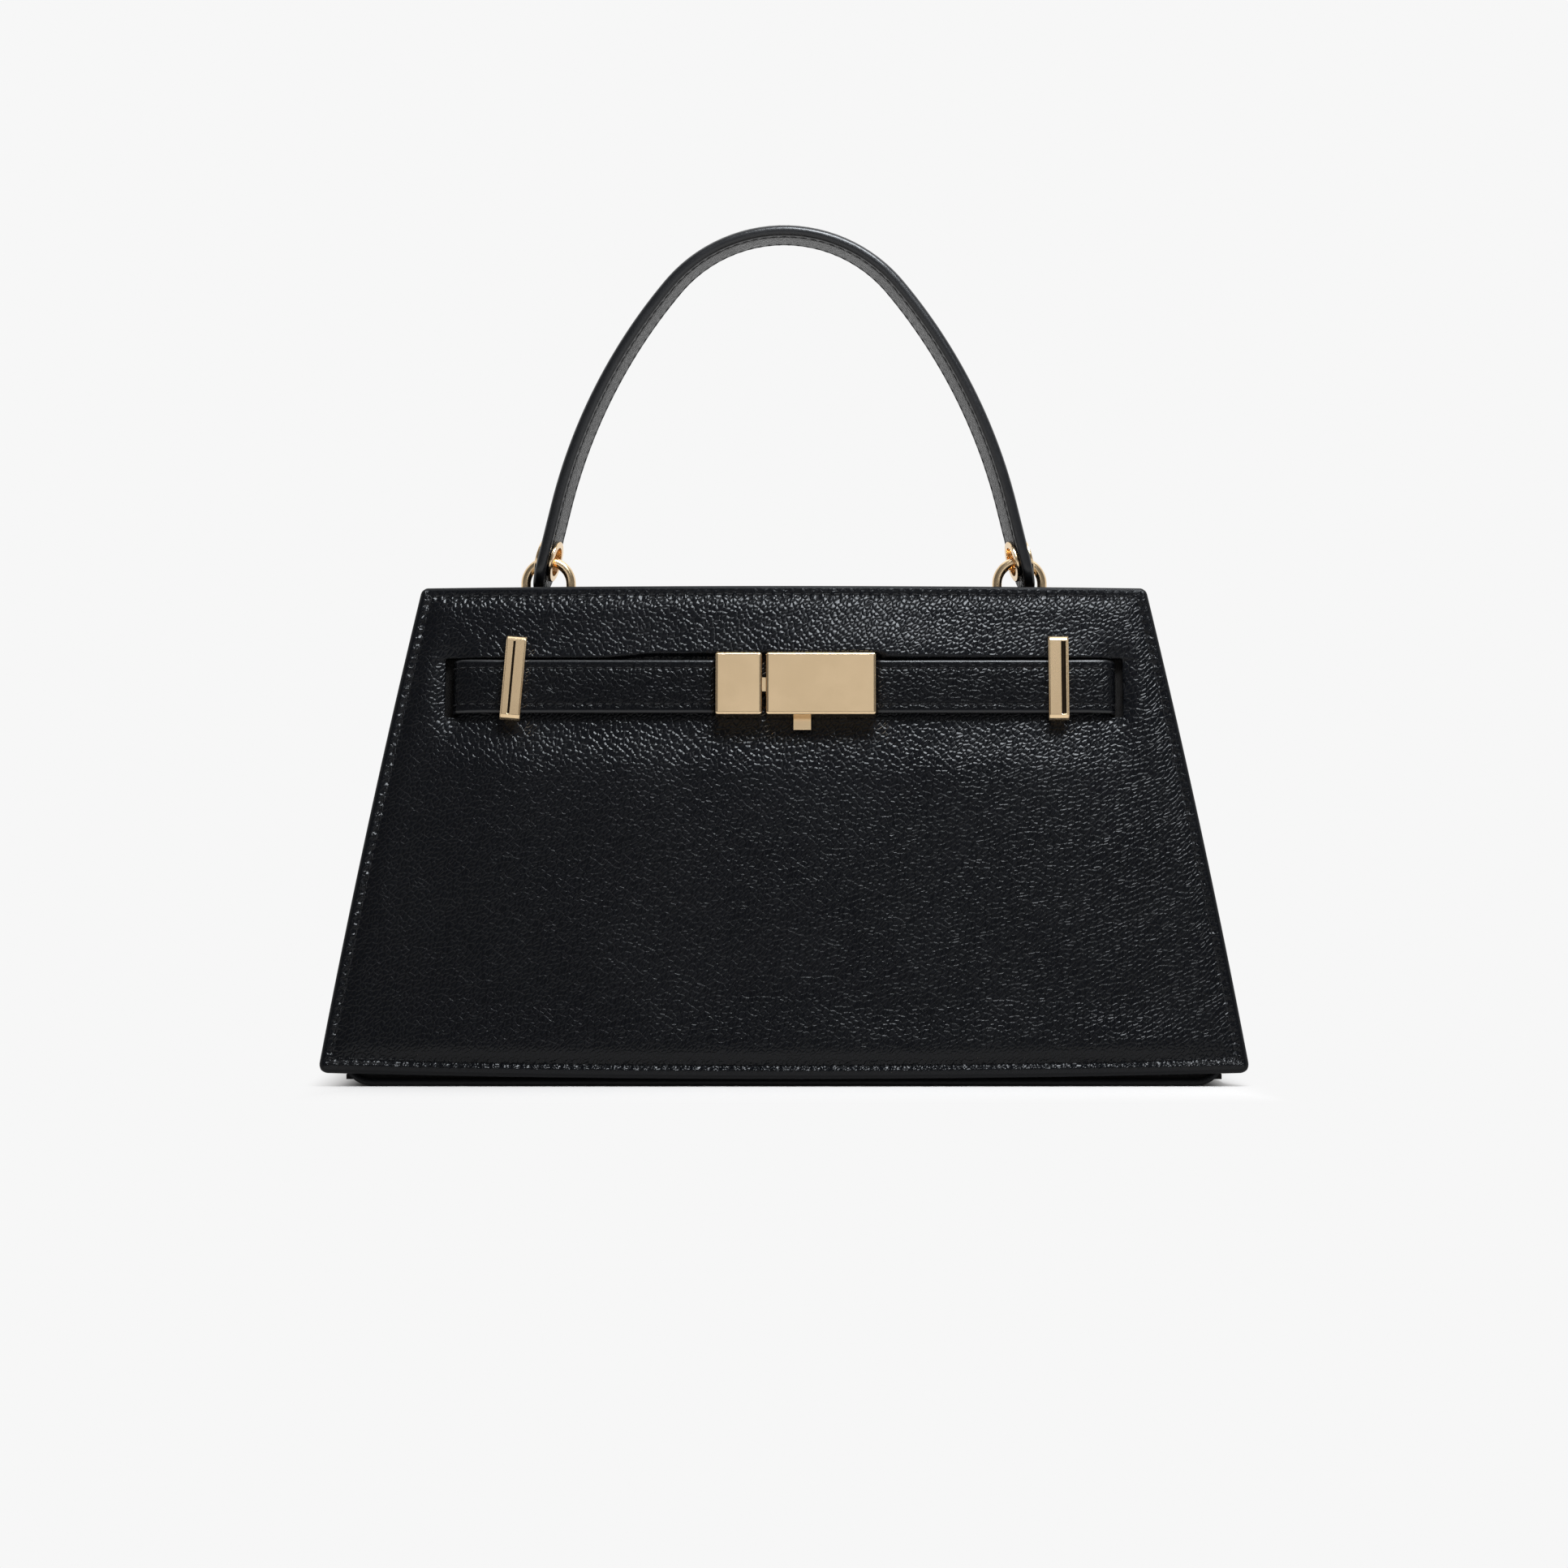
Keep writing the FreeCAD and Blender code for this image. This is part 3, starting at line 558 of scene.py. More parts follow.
FINISHES: dict[Look, Finish] = {
    # For the leathers, the second colour is the painted shade that darkens the creases.
    Look.BODY: Leather((0.0030, 0.0034, 0.0046, 1), (0.0014, 0.0015, 0.0020, 1), (0.18, 0.26), shine=0.19,
                       cells=720.0, depth=0.16),
    Look.STRAP: Leather((0.0026, 0.0029, 0.0038, 1), (0.0014, 0.0015, 0.0020, 1), (0.18, 0.26), shine=0.15,
                        cells=760.0, depth=0.15, pucker=0.06),
    Look.PAINT: EdgePaint((0.0045, 0.0047, 0.0055, 1), (0.0070, 0.0072, 0.0080, 1), (0.36, 0.48),
                          wear_scale=90.0, shine=0.12),
    Look.STRAP_PAINT: EdgePaint((0.0060, 0.0063, 0.0072, 1), (0.0090, 0.0092, 0.0105, 1), (0.26, 0.34),
                                wear_scale=90.0, shine=0.45),
    Look.THREAD: Thread((0.006, 0.006, 0.0066, 1), (0.018, 0.018, 0.0195, 1), (0.26, 0.38),
                        wear_scale=200.0, shine=0.18),
    Look.GOLD: Metal((0.86, 0.645, 0.40, 1), (0.845, 0.63, 0.385, 1), (0.21, 0.235),
                     wear_scale=60.0, scratch=0.0012),
    # Dark colour for the keepers' groove faces: a painted reflection and shade.
    Look.PATINA: Metal((0.030, 0.020, 0.012, 1), (0.018, 0.012, 0.008, 1), (0.45, 0.60),
                       wear_scale=90.0, scratch=0.01),
    Look.STEEL: Metal((0.55, 0.55, 0.56, 1), (0.46, 0.46, 0.47, 1), (0.28, 0.42),
                      wear_scale=60.0, scratch=0.03),
    Look.LINING: Cloth((0.012, 0.0110, 0.0104, 1), (0.0066, 0.0061, 0.0057, 1), (0.70, 0.85), shine=0.10),
    # Near-black board colour: painted shade for the belt slots and the gap under the panels.
    Look.BOARD: Cloth((0.0075, 0.0072, 0.0070, 1), (0.0048, 0.0046, 0.0045, 1), (0.80, 0.92), shine=0.10,
                      ribs=240.0, depth=0.05, sheen=0.0),
}


@dataclass
class MeshDraft:
    """Points and faces of a piece in millimetres, gathered before they become a mesh."""

    points: list[Vector] = field(default_factory=list)
    faces: list[Sequence[int]] = field(default_factory=list)
    finishes: list[int] = field(default_factory=list)
    rims: list[float] = field(default_factory=list)
    tucks: list[float] = field(default_factory=list)

    def point(self, place: Vector, rim: float = 0.0, tuck: float = 0.0) -> int:
        """Add a point.

        Args:
            place: Where it is, in millimetres.
            rim: How far the grain is calmed there, 0 to 1.
            tuck: How far stitches pucker the leather, above 0 in a row along X and below 0 up Z.

        Returns:
            Its number.
        """
        self.points.append(place)
        self.rims.append(rim)
        self.tucks.append(tuck)
        return len(self.points) - 1

    def face(self, corners: Sequence[int], finish: int = 0) -> None:
        """Add a face with the numbers of its points and of its material."""
        self.faces.append(corners)
        self.finishes.append(finish)

    def grid(self, rows: Sequence[Sequence[int]],
             finish: Callable[[int, int], int] = lambda row, column: 0, closed: bool = False) -> None:
        """Fill between rows of points.

        Args:
            rows: Numbers of the points, row by row, with equal lengths.
            finish: Material of the face at a row and a column.
            closed: Whether each row joins up with its own start.
        """
        width = len(rows[0])
        for r, (row, after) in enumerate(zip(rows, rows[1:])):
            for c in range(width if closed else width - 1):
                d = (c + 1) % width
                self.face((row[c], row[d], after[d], after[c]), finish(r, c))

    def tube(self, rows: Sequence[Sequence[int]],
             finish: Callable[[int, int], int] = lambda row, column: 0, cap: int = 0) -> None:
        """Fill between rings of points, and close both ends.

        Args:
            rows: Numbers of the points, ring by ring, with equal lengths.
            finish: Material of the face at a row and a column.
            cap: Material of the ends.
        """
        self.grid(rows, finish, closed=True)
        self.face(rows[0], cap)
        self.face(rows[-1], cap)

    def build(self, name: str, materials: Sequence[Material]) -> Object:
        """Make the object, with doubles merged and faces turned outwards.

        Args:
            name: Name of the piece.
            materials: Its materials, in the order of the faces' numbers.

        Returns:
            The new object, at the origin.
        """
        mesh = bpy.data.meshes.new(name)
        mesh.from_pydata([p * MM for p in self.points], [], self.faces)
        for material in materials:
            mesh.materials.append(material)
        mesh.polygons.foreach_set("material_index", self.finishes)
        for key, values in (("rim", self.rims), ("tuck", self.tucks)):
            mesh.attributes.new(key, "FLOAT", "POINT").data.foreach_set("value", values)
        tidy_mesh(mesh)
        return link(name, mesh)


def tidy_mesh(mesh: Mesh) -> None:
    """Merge doubles, drop flat faces, turn the faces outwards and shade them smooth.

    Args:
        mesh: Closed mesh to tidy.
    """
    work = bmesh.new()
    work.from_mesh(mesh)
    bmesh.ops.remove_doubles(work, verts=work.verts, dist=MERGE_GAP)
    bmesh.ops.dissolve_degenerate(work, edges=work.edges, dist=FLAT_GAP)
    bmesh.ops.recalc_face_normals(work, faces=work.faces)
    for face in work.faces:
        face.smooth = True
    work.to_mesh(mesh)
    work.free()


def bake(piece: Object, kind: str, inputs: dict[str, Any] | None = None, **settings: Any) -> None:
    """Change a piece by a modifier, and keep the result as its plain mesh.

    Args:
        piece: Piece to change.
        kind: Type of the modifier.
        inputs: What goes into a node tree's inputs, by identifier.
        **settings: Properties of the modifier.
    """
    modifier = piece.modifiers.new(kind.lower(), kind)
    for name, value in settings.items():
        setattr(modifier, name, value)
    for key, value in (inputs or {}).items():
        modifier[key] = value
    bpy.context.view_layer.update()
    evaluated = piece.evaluated_get(bpy.context.evaluated_depsgraph_get())
    mesh = bpy.data.meshes.new_from_object(evaluated)
    piece.modifiers.clear()
    old, piece.data = piece.data, mesh
    bpy.data.meshes.remove(old)
    mesh.name = piece.name


def cut_with(piece: Object, cutters: Iterable[Object]) -> None:
    """Cut closed shapes out of a piece, and remove the shapes.

    Args:
        piece: Piece to cut.
        cutters: Closed shapes.
    """
    for cutter in cutters:
        bake(piece, "BOOLEAN", operation="DIFFERENCE", solver="EXACT", material_mode="TRANSFER",
             object=cutter)
        bpy.data.objects.remove(cutter)


def lay_grain(mesh: Mesh) -> None:
    """Lay the grain over a mesh at its true size, each face from the side it faces most.

    Args:
        mesh: Mesh to map.
    """
    layer = mesh.uv_layers.new(name=GRAIN_UV)
    planes = ((1, 2), (0, 2), (0, 1))
    for face in mesh.polygons:
        across, up = planes[max(range(3), key=lambda axis: abs(face.normal[axis]))]
        for corner in face.loop_indices:
            spot = mesh.vertices[mesh.loops[corner].vertex_index].co
            layer.data[corner].uv = (spot[across], spot[up])


def settle(piece: Object, body: Body, slot: Slot, *nodes: str,
           blend: tuple[Body, Vector, Vector] | None = None) -> None:
    """Let a finished piece ride on a body, or be baked in place, and hide the CAD nodes it stands for.

    Args:
        piece: The finished piece.
        body: Body that carries it.
        slot: Material slot of the CAD nodes it stands for; leather slots have the grain laid on the piece.
        *nodes: CAD nodes it stands for.
        blend: Second body and the points in millimetres where a blend would start and end; when given, the
            piece is only baked in place and rides on no body, and these values are not used.
    """
    if nodes and slot in (Slot.BODY, Slot.STRAP):
        lay_grain(piece.data)
    if blend:
        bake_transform(piece)
    else:
        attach(piece, body.value)
    if nodes:
        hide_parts(*nodes)
    log.info("%s: %d faces", piece.name, len(piece.data.polygons))


@dataclass(frozen=True)
class Seam:
    """Sizes of a row of stitches."""

    pitch: float = 3.0
    length: float = 2.35
    thick: float = 0.62


class StitchTree:
    """Geometry Nodes tree that sews stitches along the edges of a mesh."""

    INPUTS = {"Pitch": "NodeSocketFloat", "Length": "NodeSocketFloat", "Thickness": "NodeSocketFloat",
              "Thread": "NodeSocketMaterial"}

    def __init__(self, thread: Material) -> None:
        """Build the tree.

        Args:
            thread: Material of every stitch.
        """
        self.thread = thread
        self.tree = bpy.data.node_groups.new("SewnStitches", "GeometryNodeTree")
        sockets = self.tree.interface
        sockets.new_socket("Geometry", in_out="INPUT", socket_type="NodeSocketGeometry")
        self.keys = [sockets.new_socket(name, in_out="INPUT", socket_type=kind).identifier
                     for name, kind in self.INPUTS.items()]
        sockets.new_socket("Geometry", in_out="OUTPUT", socket_type="NodeSocketGeometry")
        wires = Wiring(self.tree)
        source = wires.node("NodeGroupInput").outputs
        line = wires.put("GeometryNodeMeshToCurve", {"Mesh": source["Geometry"]})
        spots = wires.put("GeometryNodeCurveToPoints", {"Curve": line, "Length": source["Pitch"]}, "Points",
                          mode="LENGTH")
        tangent = spots.node.outputs["Tangent"]
        turn = wires.put("FunctionNodeAlignRotationToVector", {"Vector": tangent}, axis="X")
        bead = wires.put("GeometryNodeMeshUVSphere", {"Segments": 8, "Rings": 6, "Radius": 0.5})
        thick = source["Thickness"]
        size = wires.put("ShaderNodeCombineXYZ", {0: source["Length"], 1: thick, 2: thick})
        shape = wires.put("GeometryNodeTransform", {"Geometry": bead, "Scale": size})
        feeds = {"Points": spots, "Instance": shape, "Rotation": turn}
        sewn = wires.put("GeometryNodeInstanceOnPoints", feeds)
        smooth = wires.put("GeometryNodeSetShadeSmooth", {0: sewn})
        real = wires.put("GeometryNodeRealizeInstances", {0: smooth})
        dressed = wires.put("GeometryNodeSetMaterial", {"Geometry": real, "Material": source["Thread"]})
        wires.feed(wires.node("NodeGroupOutput").inputs[0], dressed)

    def sew(self, name: str, paths: Iterable[Sequence[Vector]], seam: Seam = Seam(),
            closed: bool = False) -> Object:
        """Sew along paths and keep the result as a plain mesh.

        Args:
            name: Name of the stitches' object.
            paths: Points in millimetres of each row.
            seam: Sizes of the stitches.
            closed: Whether each row joins up with its own start.

        Returns:
            One object with all the stitches, not yet riding on a body.
        """
        points: list[Vector] = []
        edges: list[tuple[int, int]] = []
        for path in paths:
            first = len(points)
            points.extend(p * MM for p in path)
            edges.extend((i, i + 1) for i in range(first, len(points) - 1))
            if closed:
                edges.append((len(points) - 1, first))
        mesh = bpy.data.meshes.new(name)
        mesh.from_pydata(points, edges, [])
        made = link(name, mesh)
        values = (seam.pitch * MM, seam.length * MM, seam.thick * MM, self.thread)
        bake(made, "NODES", dict(zip(self.keys, values)), node_group=self.tree)
        return made


@dataclass(frozen=True)
class WallFrame:
    """Place of a leaning wall: its own plane has the outer face on y = 0 and z up the slope."""

    base_depth: float = 95.0
    mouth_depth: float = 40.0
    top: float = 151.0
    foot: float = 2.6
    turned: bool = False

    @property
    def lean(self) -> float:
        """Angle of the wall from upright."""
        return math.atan2((self.base_depth - self.mouth_depth) / 2, self.top - self.foot)

    @property
    def slope(self) -> float:
        """Length of the wall up its slope."""
        return math.hypot((self.base_depth - self.mouth_depth) / 2, self.top - self.foot)

    @property
    def up(self) -> Vector:
        """Way up the slope."""
        return self.place(0, 0, 1) - self.place(0, 0, 0)

    def place(self, x: float, y: float, z: float) -> Vector:
        """Point of the wall's own plane, on the bag, in millimetres.

        Args:
            x: Distance to the right of the wall's middle.
            y: Depth behind its outer face.
            z: Distance up its slope.

        Returns:
            The point.
        """
        lean = self.lean
        world_y = y * math.cos(lean) + z * math.sin(lean) - self.base_depth / 2
        world_z = z * math.cos(lean) - y * math.sin(lean) + self.foot
        return Vector((-x, -world_y, world_z)) if self.turned else Vector((x, world_y, world_z))

    def reach(self, height: float, depth: float) -> float:
        """Distance from the bag's middle to a layer of the wall, at a height."""
        outer = self.base_depth / 2 - (height - self.foot) * math.tan(self.lean)
        return outer - depth / math.cos(self.lean)


class Kit:
    """What the pieces share: materials, sewing and the place of the front wall."""

    def __init__(self) -> None:
        """Build the materials and the tree that sews."""
        effects = SharedEffects()
        self.looks = {look: finish.material(look.value, effects) for look, finish in FINISHES.items()}
        self.stitches = StitchTree(self.looks[Look.THREAD])
        self.wall = WallFrame()

    def pick(self, *looks: Look) -> list[Material]:
        """Materials of some finishes, in order."""
        return [self.looks[look] for look in looks]


@dataclass(frozen=True)
class Outline:
    """Bowed outline with round corners of a flat piece, in its own plane."""

    half_low: float
    half_high: float
    low: float
    high: float
    side_bow: float = 0.0
    top_bow: float = 0.0
    bottom_bow: float = 0.0
    corner: float = 3.0
    corner_high: float = 3.0
    step: float = 1.5
    rim_steps: tuple[float, ...] = (0.0, 0.12, 0.35, 0.65, 1.0, 1.5, 2.0, 2.45, 2.9, 3.4, 4.0, 5.0, 6.2,
                                    7.6, 9.2, 11.0)
    extra_lines: tuple[float, ...] = ()
    tuck_past: float = 0.4
    tuck_drift: float = 1.3
    tuck_wide: float = 1.2
    tuck_turn: float = 0.5

    def half(self, share: float) -> float:
        """Half of the width at a share of the height."""
        return between(self.half_low, self.half_high, share) + 4 * self.side_bow * share * (1 - share)

    def ends(self, x: float, half: float) -> Pair:
        """Lowest and highest z at a place across."""
        crown = 1.0 - min(1.0, (x / half) ** 2)
        return self.low - self.bottom_bow * crown, self.high + self.top_bow * crown

    def stations(self, length: float) -> list[tuple[int, float]]:
        """Grid lines along one way.

        Args:
            length: Length of the piece that way.

        Returns:
            For each line, -1 with its distance from the low end, 1 with its distance from the
            high end, or 0 with its share of the way between the two rims.
        """
        count = max(2, round((length - 2 * self.rim_steps[-1]) / self.step))
        middle = [(0, i / count) for i in range(1, count)]
        return [(-1, s) for s in self.rim_steps] + middle + [(1, s) for s in reversed(self.rim_steps)]

    def along(self, line: tuple[int, float], low: float, high: float) -> float:
        """Place of a grid line between two ends.

        Args:
            line: The line, as stations gives it.
            low: Low end of the piece there.
            high: High end of the piece there.

        Returns:
            The place.
        """
        end, amount = line
        rim = self.rim_steps[-1]
        if end:
            return low + amount if end < 0 else high - amount
        return between(low + rim, high - rim, amount)

    def spot(self, across: tuple[int, float], up: tuple[int, float]) -> Triple:
        """Where two grid lines meet.

        Args:
            across: Line across the piece.
            up: Line up the piece.

        Returns:
            x, z and the distance from the rim.
        """
        share = (self.along(up, self.low, self.high) - self.low) / (self.high - self.low)
        half = self.half(share)
        x = self.along(across, -half, half)
        low, high = self.ends(x, half)
        z = self.along(up, low, high)
        distance = min(half - abs(x), z - low, high - z)
        corner = self.corner_high if up[0] > 0 else self.corner
        if across[0] and up[0] and max(across[1], up[1]) < corner:
            out_x, out_z = corner - across[1], corner - up[1]
            pull = max(out_x, out_z) / math.hypot(out_x, out_z)
            x = across[0] * (half - corner + out_x * pull)
            z = (high - corner + out_z * pull) if up[0] > 0 else (low + corner - out_z * pull)
        return x, z, max(0.0, distance)

    def loop(self, rim: float, step: float = 3.0) -> list[Pair]:
        """Points round the piece at one distance from its rim.

        Args:
            rim: Distance from the rim.
            step: Distance between points.

        Returns:
            x and z of each point, anticlockwise from the lower left corner.
        """
        turn, tall = self.corner, self.high - self.low
        bend = (turn - rim) * math.sqrt(0.5)
        wide_low, wide_high = self.half_low - turn, self.half_high - turn
        low, high = self.low + turn - bend, self.high - turn + bend
        rise = [(self.half(share) - rim, self.low + share * tall)
                for share in spread(turn / tall, 1 - turn / tall, round(tall / step))]
        bottom = [(x, self.ends(x, self.half_low)[0] + rim)
                  for x in spread(-wide_low, wide_low, round(2 * wide_low / step))]
        top = [(x, self.ends(x, self.half_high)[1] - rim)
               for x in spread(wide_high, -wide_high, round(2 * wide_high / step))]
        return (bottom + [(wide_low + bend, low)] + rise + [(wide_high + bend, high)] + top
                + [(-wide_high - bend, high)] + [(-x, z) for x, z in reversed(rise)]
                + [(-wide_low - bend, low)])

    def tuck(self, z: float, rim: float, gap: float, seam_at: float) -> float:
        """How far a row of stitches puckers the leather.

        Args:
            z: Place up the piece.
            rim: Distance from the rim.
            gap: That distance as the stitches count it.
            seam_at: Distance of the stitches from the rim, or 0 for none.

        Returns:
            The strength, above 0 in a row along X and below 0 up Z.
        """
        past = gap - seam_at - self.tuck_past + self.tuck_drift * (rim - gap)
        strength = bell(past, self.tuck_wide) if seam_at else 0.0
        return strength if min(z - self.low, self.high - z) < rim + self.tuck_turn else -strength

    def draft(self, near: Depth, far: Depth, place: Placer, painted: float, calm: Pair,
              seam_at: float = 0.0, seam_gap: Callable[[float, float], float] | None = None) -> MeshDraft:
        """Closed sheet of this outline.

        Args:
            near: Depth of the outer face at x, z and a distance from the rim.
            far: Depth of the inner face, equal to the outer one on the rim.
            place: Puts a point of the piece's plane on the bag.
            painted: Distance from the rim up to which the edge is painted.
            calm: Distances from the rim between which the grain comes back.
            seam_at: Distance of the stitches from the rim, or 0 for none.
            seam_gap: Distance from the rim at x and z as the stitches count it, or None for the plain one.

        Returns:
            The draft, with leather as material 0 and paint as material 1.
        """
        draft = MeshDraft()
        tall, margin = self.high - self.low, self.rim_steps[-1]
        columns = self.stations(self.half_low + self.half_high)
        extra = [(0, (z - self.low - margin) / (tall - 2 * margin)) for z in self.extra_lines]
        lines = sorted(self.stations(tall) + extra,
                       key=lambda line: (line[0], -line[1] if line[0] > 0 else line[1]))
        spots = [[self.spot(across, up) for across in columns] for up in lines]

        def paint(row: int, column: int) -> int:
            """Paint on the rim, leather elsewhere."""
            return int(max(spots[r][c][2] for r in (row, row + 1) for c in (column, column + 1)) <= painted)

        for depth in (near, far):
            draft.grid([[draft.point(place(x, depth(x, z, rim), z), 1.0 - smooth_step(*calm, rim),
                                     self.tuck(z, rim, seam_gap(x, z) if seam_gap else rim, seam_at))
                         for x, z, rim in row] for row in spots], paint)
        return draft


@dataclass(frozen=True)
class Lining:
    """Cloth lining with faint wrinkles, stretched over a stiffener."""

    word: str
    body: Body
    outline: Outline
    place: Placer
    near: float
    sheet: float
    wrinkle: Waves
    calm: Pair
    limit: Callable[[float, float], float] = max

    def glued(self, x: float, z: float, rim: float) -> float:
        """Depth of the glued face."""
        return self.near + rim_round(rim, self.sheet / 2)

    def shown(self, x: float, z: float, rim: float) -> float:
        """Depth of the face that shows in the bag."""
        wave = ripple(x, z, self.wrinkle) * smooth_step(*self.calm, rim)
        return self.near + self.sheet - rim_round(rim, self.sheet / 2) + self.limit(0.0, wave)

    def dress(self, kit: Kit) -> None:
        """Args:
            kit: What the pieces share.
        """
        line = self.outline
        draft = line.draft(self.glued, self.shown, self.place, -1.0, (0.0, 1.0))
        piece = draft.build(f"{self.word}_lining_cloth", kit.pick(Look.LINING))
        settle(piece, self.body, Slot.LINING, f"{self.word}_lining")


@dataclass
class WallPanel:
    """Leather panel of a wall: puffed between its seams, pressed flat where the belt lies."""

    word: str
    body: Body
    base_width: float = 280.0
    top_width: float = 222.0
    hem: float = 1.7
    sheet: float = 2.0
    painted: float = 1.3
    calm: Pair = (1.0, 2.2)
    seam_at: float = 2.8
    seam_low: float = 1.6
    seam_side: float = 0.7
    stitch_proud: float = 0.02
    groove: Pair = (0.26, 0.55)
    swell: Pair = (0.8, 5.0)
    hem_swell: float = 0.62
    hem_swell_at: Pair = (-2.1, 1.0)
    puff: Pair = (1.25, 2.6)
    puff_turn: Pair = (100.0, 130.0)
    puff_reach: float = 46.0
    roll: float = 0.55
    roll_start: float = 1.6
    roll_rise: float = 6.0
    roll_fall: float = 24.0
    roll_side: Pair = (4.0, 34.0)
    slack: tuple[Waves, Waves] = ((0.45, 34.0, 30.0, 3.0), (0.6, 80.0, 60.0, 8.0))
    slack_rim: Pair = (5.0, 22.0)
    belt_at: float = 119.6
    belt_half: float = 8.35
    belt_ease: Pair = (8.1, 27.0)
    slot_reach: float = 103.5
    slot_width: float = 4.2
    slot_room: float = 0.8
    slot_corner: float = 0.9
    slot_turns: int = 4
    slot_ease: Pair = (-3.0, 6.0)
    dent_size: Pair = (0.75, 2.6)
    bulge: float = 2.1
    bulge_at: float = 24.0
    bulge_wide: Pair = (36.0, 46.0)
    bulge_fall: Pair = (130.5, 147.5)
    clasp_span: Pair = (-39.0, 28.3)
    clasp_ease: Pair = (18.0, 2.6)
    clasp_half: float = 9.7
    shelf_rise: float = 0.9
    shelf_lines: tuple[float, ...] = (127.7, 128.2, 128.6, 129.0, 129.5, 129.9, 130.4)
    lining_inset: float = 8.5
    cutter_half: float = 6.0

    @property
    def belted(self) -> bool:
        """Whether the belt lies on this panel."""
        return self.body is Body.FRONT

    @cached_property
    def frame(self) -> WallFrame:
        """Place of the panel's wall."""
        return WallFrame(turned=not self.belted)

    @cached_property
    def outline(self) -> Outline:
        """Outline of the panel in its wall's plane."""
        return Outline(self.base_width / 2, self.top_width / 2, self.hem, self.frame.slope, side_bow=1.0,
                       top_bow=0.8, bottom_bow=1.9, corner=3.2, corner_high=1.8,
                       extra_lines=self.shelf_lines if self.belted else ())

    def press(self, x: float, z: float) -> float:
        """How far the belt holds the leather flat at a place, 0 to 1.

        Args:
            x: Place across the panel.
            z: Place up the panel.

        Returns:
            The share.
        """
        if not self.belted:
            return 0.0
        free = self.shelf(x, z) if z > self.belt_at else smooth_step(*self.belt_ease, self.belt_at - z)
        start, end = self.slot_ease
        return (1.0 - free) * (1.0 - smooth_step(self.slot_reach + start, self.slot_reach + end, abs(x)))

    def shelf(self, x: float, z: float) -> float:
        """How far the leather has come out above the belt and the clasp, 0 to 1.

        Args:
            x: Place across the panel.
            z: Place up the panel.

        Returns:
            The share.
        """
        (low, high), (before, after) = self.clasp_span, self.clasp_ease
        over = smooth_step(low - before, low, x) * (1.0 - smooth_step(high, high + after, x))
        start = self.belt_at + between(self.belt_half, self.clasp_half, over)
        return smooth_step(start, start + self.shelf_rise, z)

    def dent(self, x: float, z: float) -> float:
        """How far the leather is drawn in beside a belt slot.

        Args:
            x: Place across the panel.
            z: Place up the panel.

        Returns:
            The depth.
        """
        depth, reach = self.dent_size
        off_x = max(0.0, abs(abs(x) - self.slot_reach + self.slot_width / 2) - self.slot_width / 2)
        off_z = max(0.0, abs(z - self.belt_at) - self.belt_half - self.slot_room)
        return depth * bell(math.hypot(off_x, off_z), reach) if self.belted else 0.0

    def seam_gaps(self, x: float, z: float) -> Triple:
        """Distances from the side, lower and upper rim, counted so that the stitches lie at one distance.

        Args:
            x: Place across the panel.
            z: Place up the panel.

        Returns:
            The three distances.
        """
        line = self.outline
        half = line.half(min(1.0, max(0.0, (z - line.low) / (line.high - line.low))))
        low, high = line.ends(x, half)
        return half - abs(x) - self.seam_side, z - low - self.seam_low, high - z

    def seam_gap(self, x: float, z: float) -> float:
        """Least of the distances from the rim."""
        return min(self.seam_gaps(x, z))

    def outer(self, x: float, z: float, rim: float) -> float:
        """Depth of the outer face: below 0 it stands proud.

        Args:
            x: Place across the panel.
            z: Place up the panel.
            rim: Distance from the rim.

        Returns:
            The depth.
        """
        side, low, high = self.seam_gaps(x, z)
        gap = min(side, low, high)
        past = gap - self.seam_at
        soft = self.swell[0] * smooth_step(0.0, self.swell[1], past)
        soft += self.hem_swell * (rim - gap) * bell(past - self.hem_swell_at[0], self.hem_swell_at[1])
        crown = between(*self.puff, smooth_step(*self.puff_turn, z))
        crown *= smooth_step(self.seam_at, self.puff_reach, min(side, high))
        fall = 1.0 - smooth_step(self.roll_rise, self.roll_fall, low)
        crown += self.roll * fall * smooth_step(*self.roll_side, side)
        soft += crown * smooth_step(self.roll_start, self.roll_rise, low)
        soft += sum(ripple(x, z, waves) for waves in self.slack) * smooth_step(*self.slack_rim, rim)
        soft *= 1.0 - self.press(x, z)
        if self.belted:
            off = x - self.bulge_at
            shown = self.shelf(x, z) * (1.0 - smooth_step(*self.bulge_fall, z))
            soft += self.bulge * bell(off, self.bulge_wide[off > 0]) * shown
        seam = self.groove[0] * bell(past, self.groove[1])
        return rim_round(rim, self.sheet / 2) + seam - max(soft, 0.0) + self.dent(x, z)

    def inner(self, x: float, z: float, rim: float) -> float:
        """Depth of the inner face."""
        return self.sheet - rim_round(rim, self.sheet / 2)

    def slot_cutter(self, side: Side, kit: Kit) -> Object:
        """Closed shape of a belt slot.

        Args:
            side: Which slot.
            kit: What the pieces share.

        Returns:
            The shape, to be cut out of the panel.
        """
        draft, corner = MeshDraft(), self.slot_corner
        wide, tall = self.slot_width / 2 - corner, self.belt_half + self.slot_room - corner
        middle = side.value * (self.slot_reach - self.slot_width / 2)
        ring = []
        for quarter, (sx, sz) in enumerate(((1, 1), (-1, 1), (-1, -1), (1, -1))):
            for turn in spread(quarter * math.pi / 2, (quarter + 1) * math.pi / 2, self.slot_turns):
                ring.append((middle + sx * wide + corner * math.cos(turn),
                             self.belt_at + sz * tall + corner * math.sin(turn)))
        draft.tube([[draft.point(self.frame.place(x, y, z), 1.0) for x, z in ring]
                    for y in (-self.cutter_half, self.cutter_half)])
        return draft.build("slot_cutter", kit.pick(Look.PAINT))

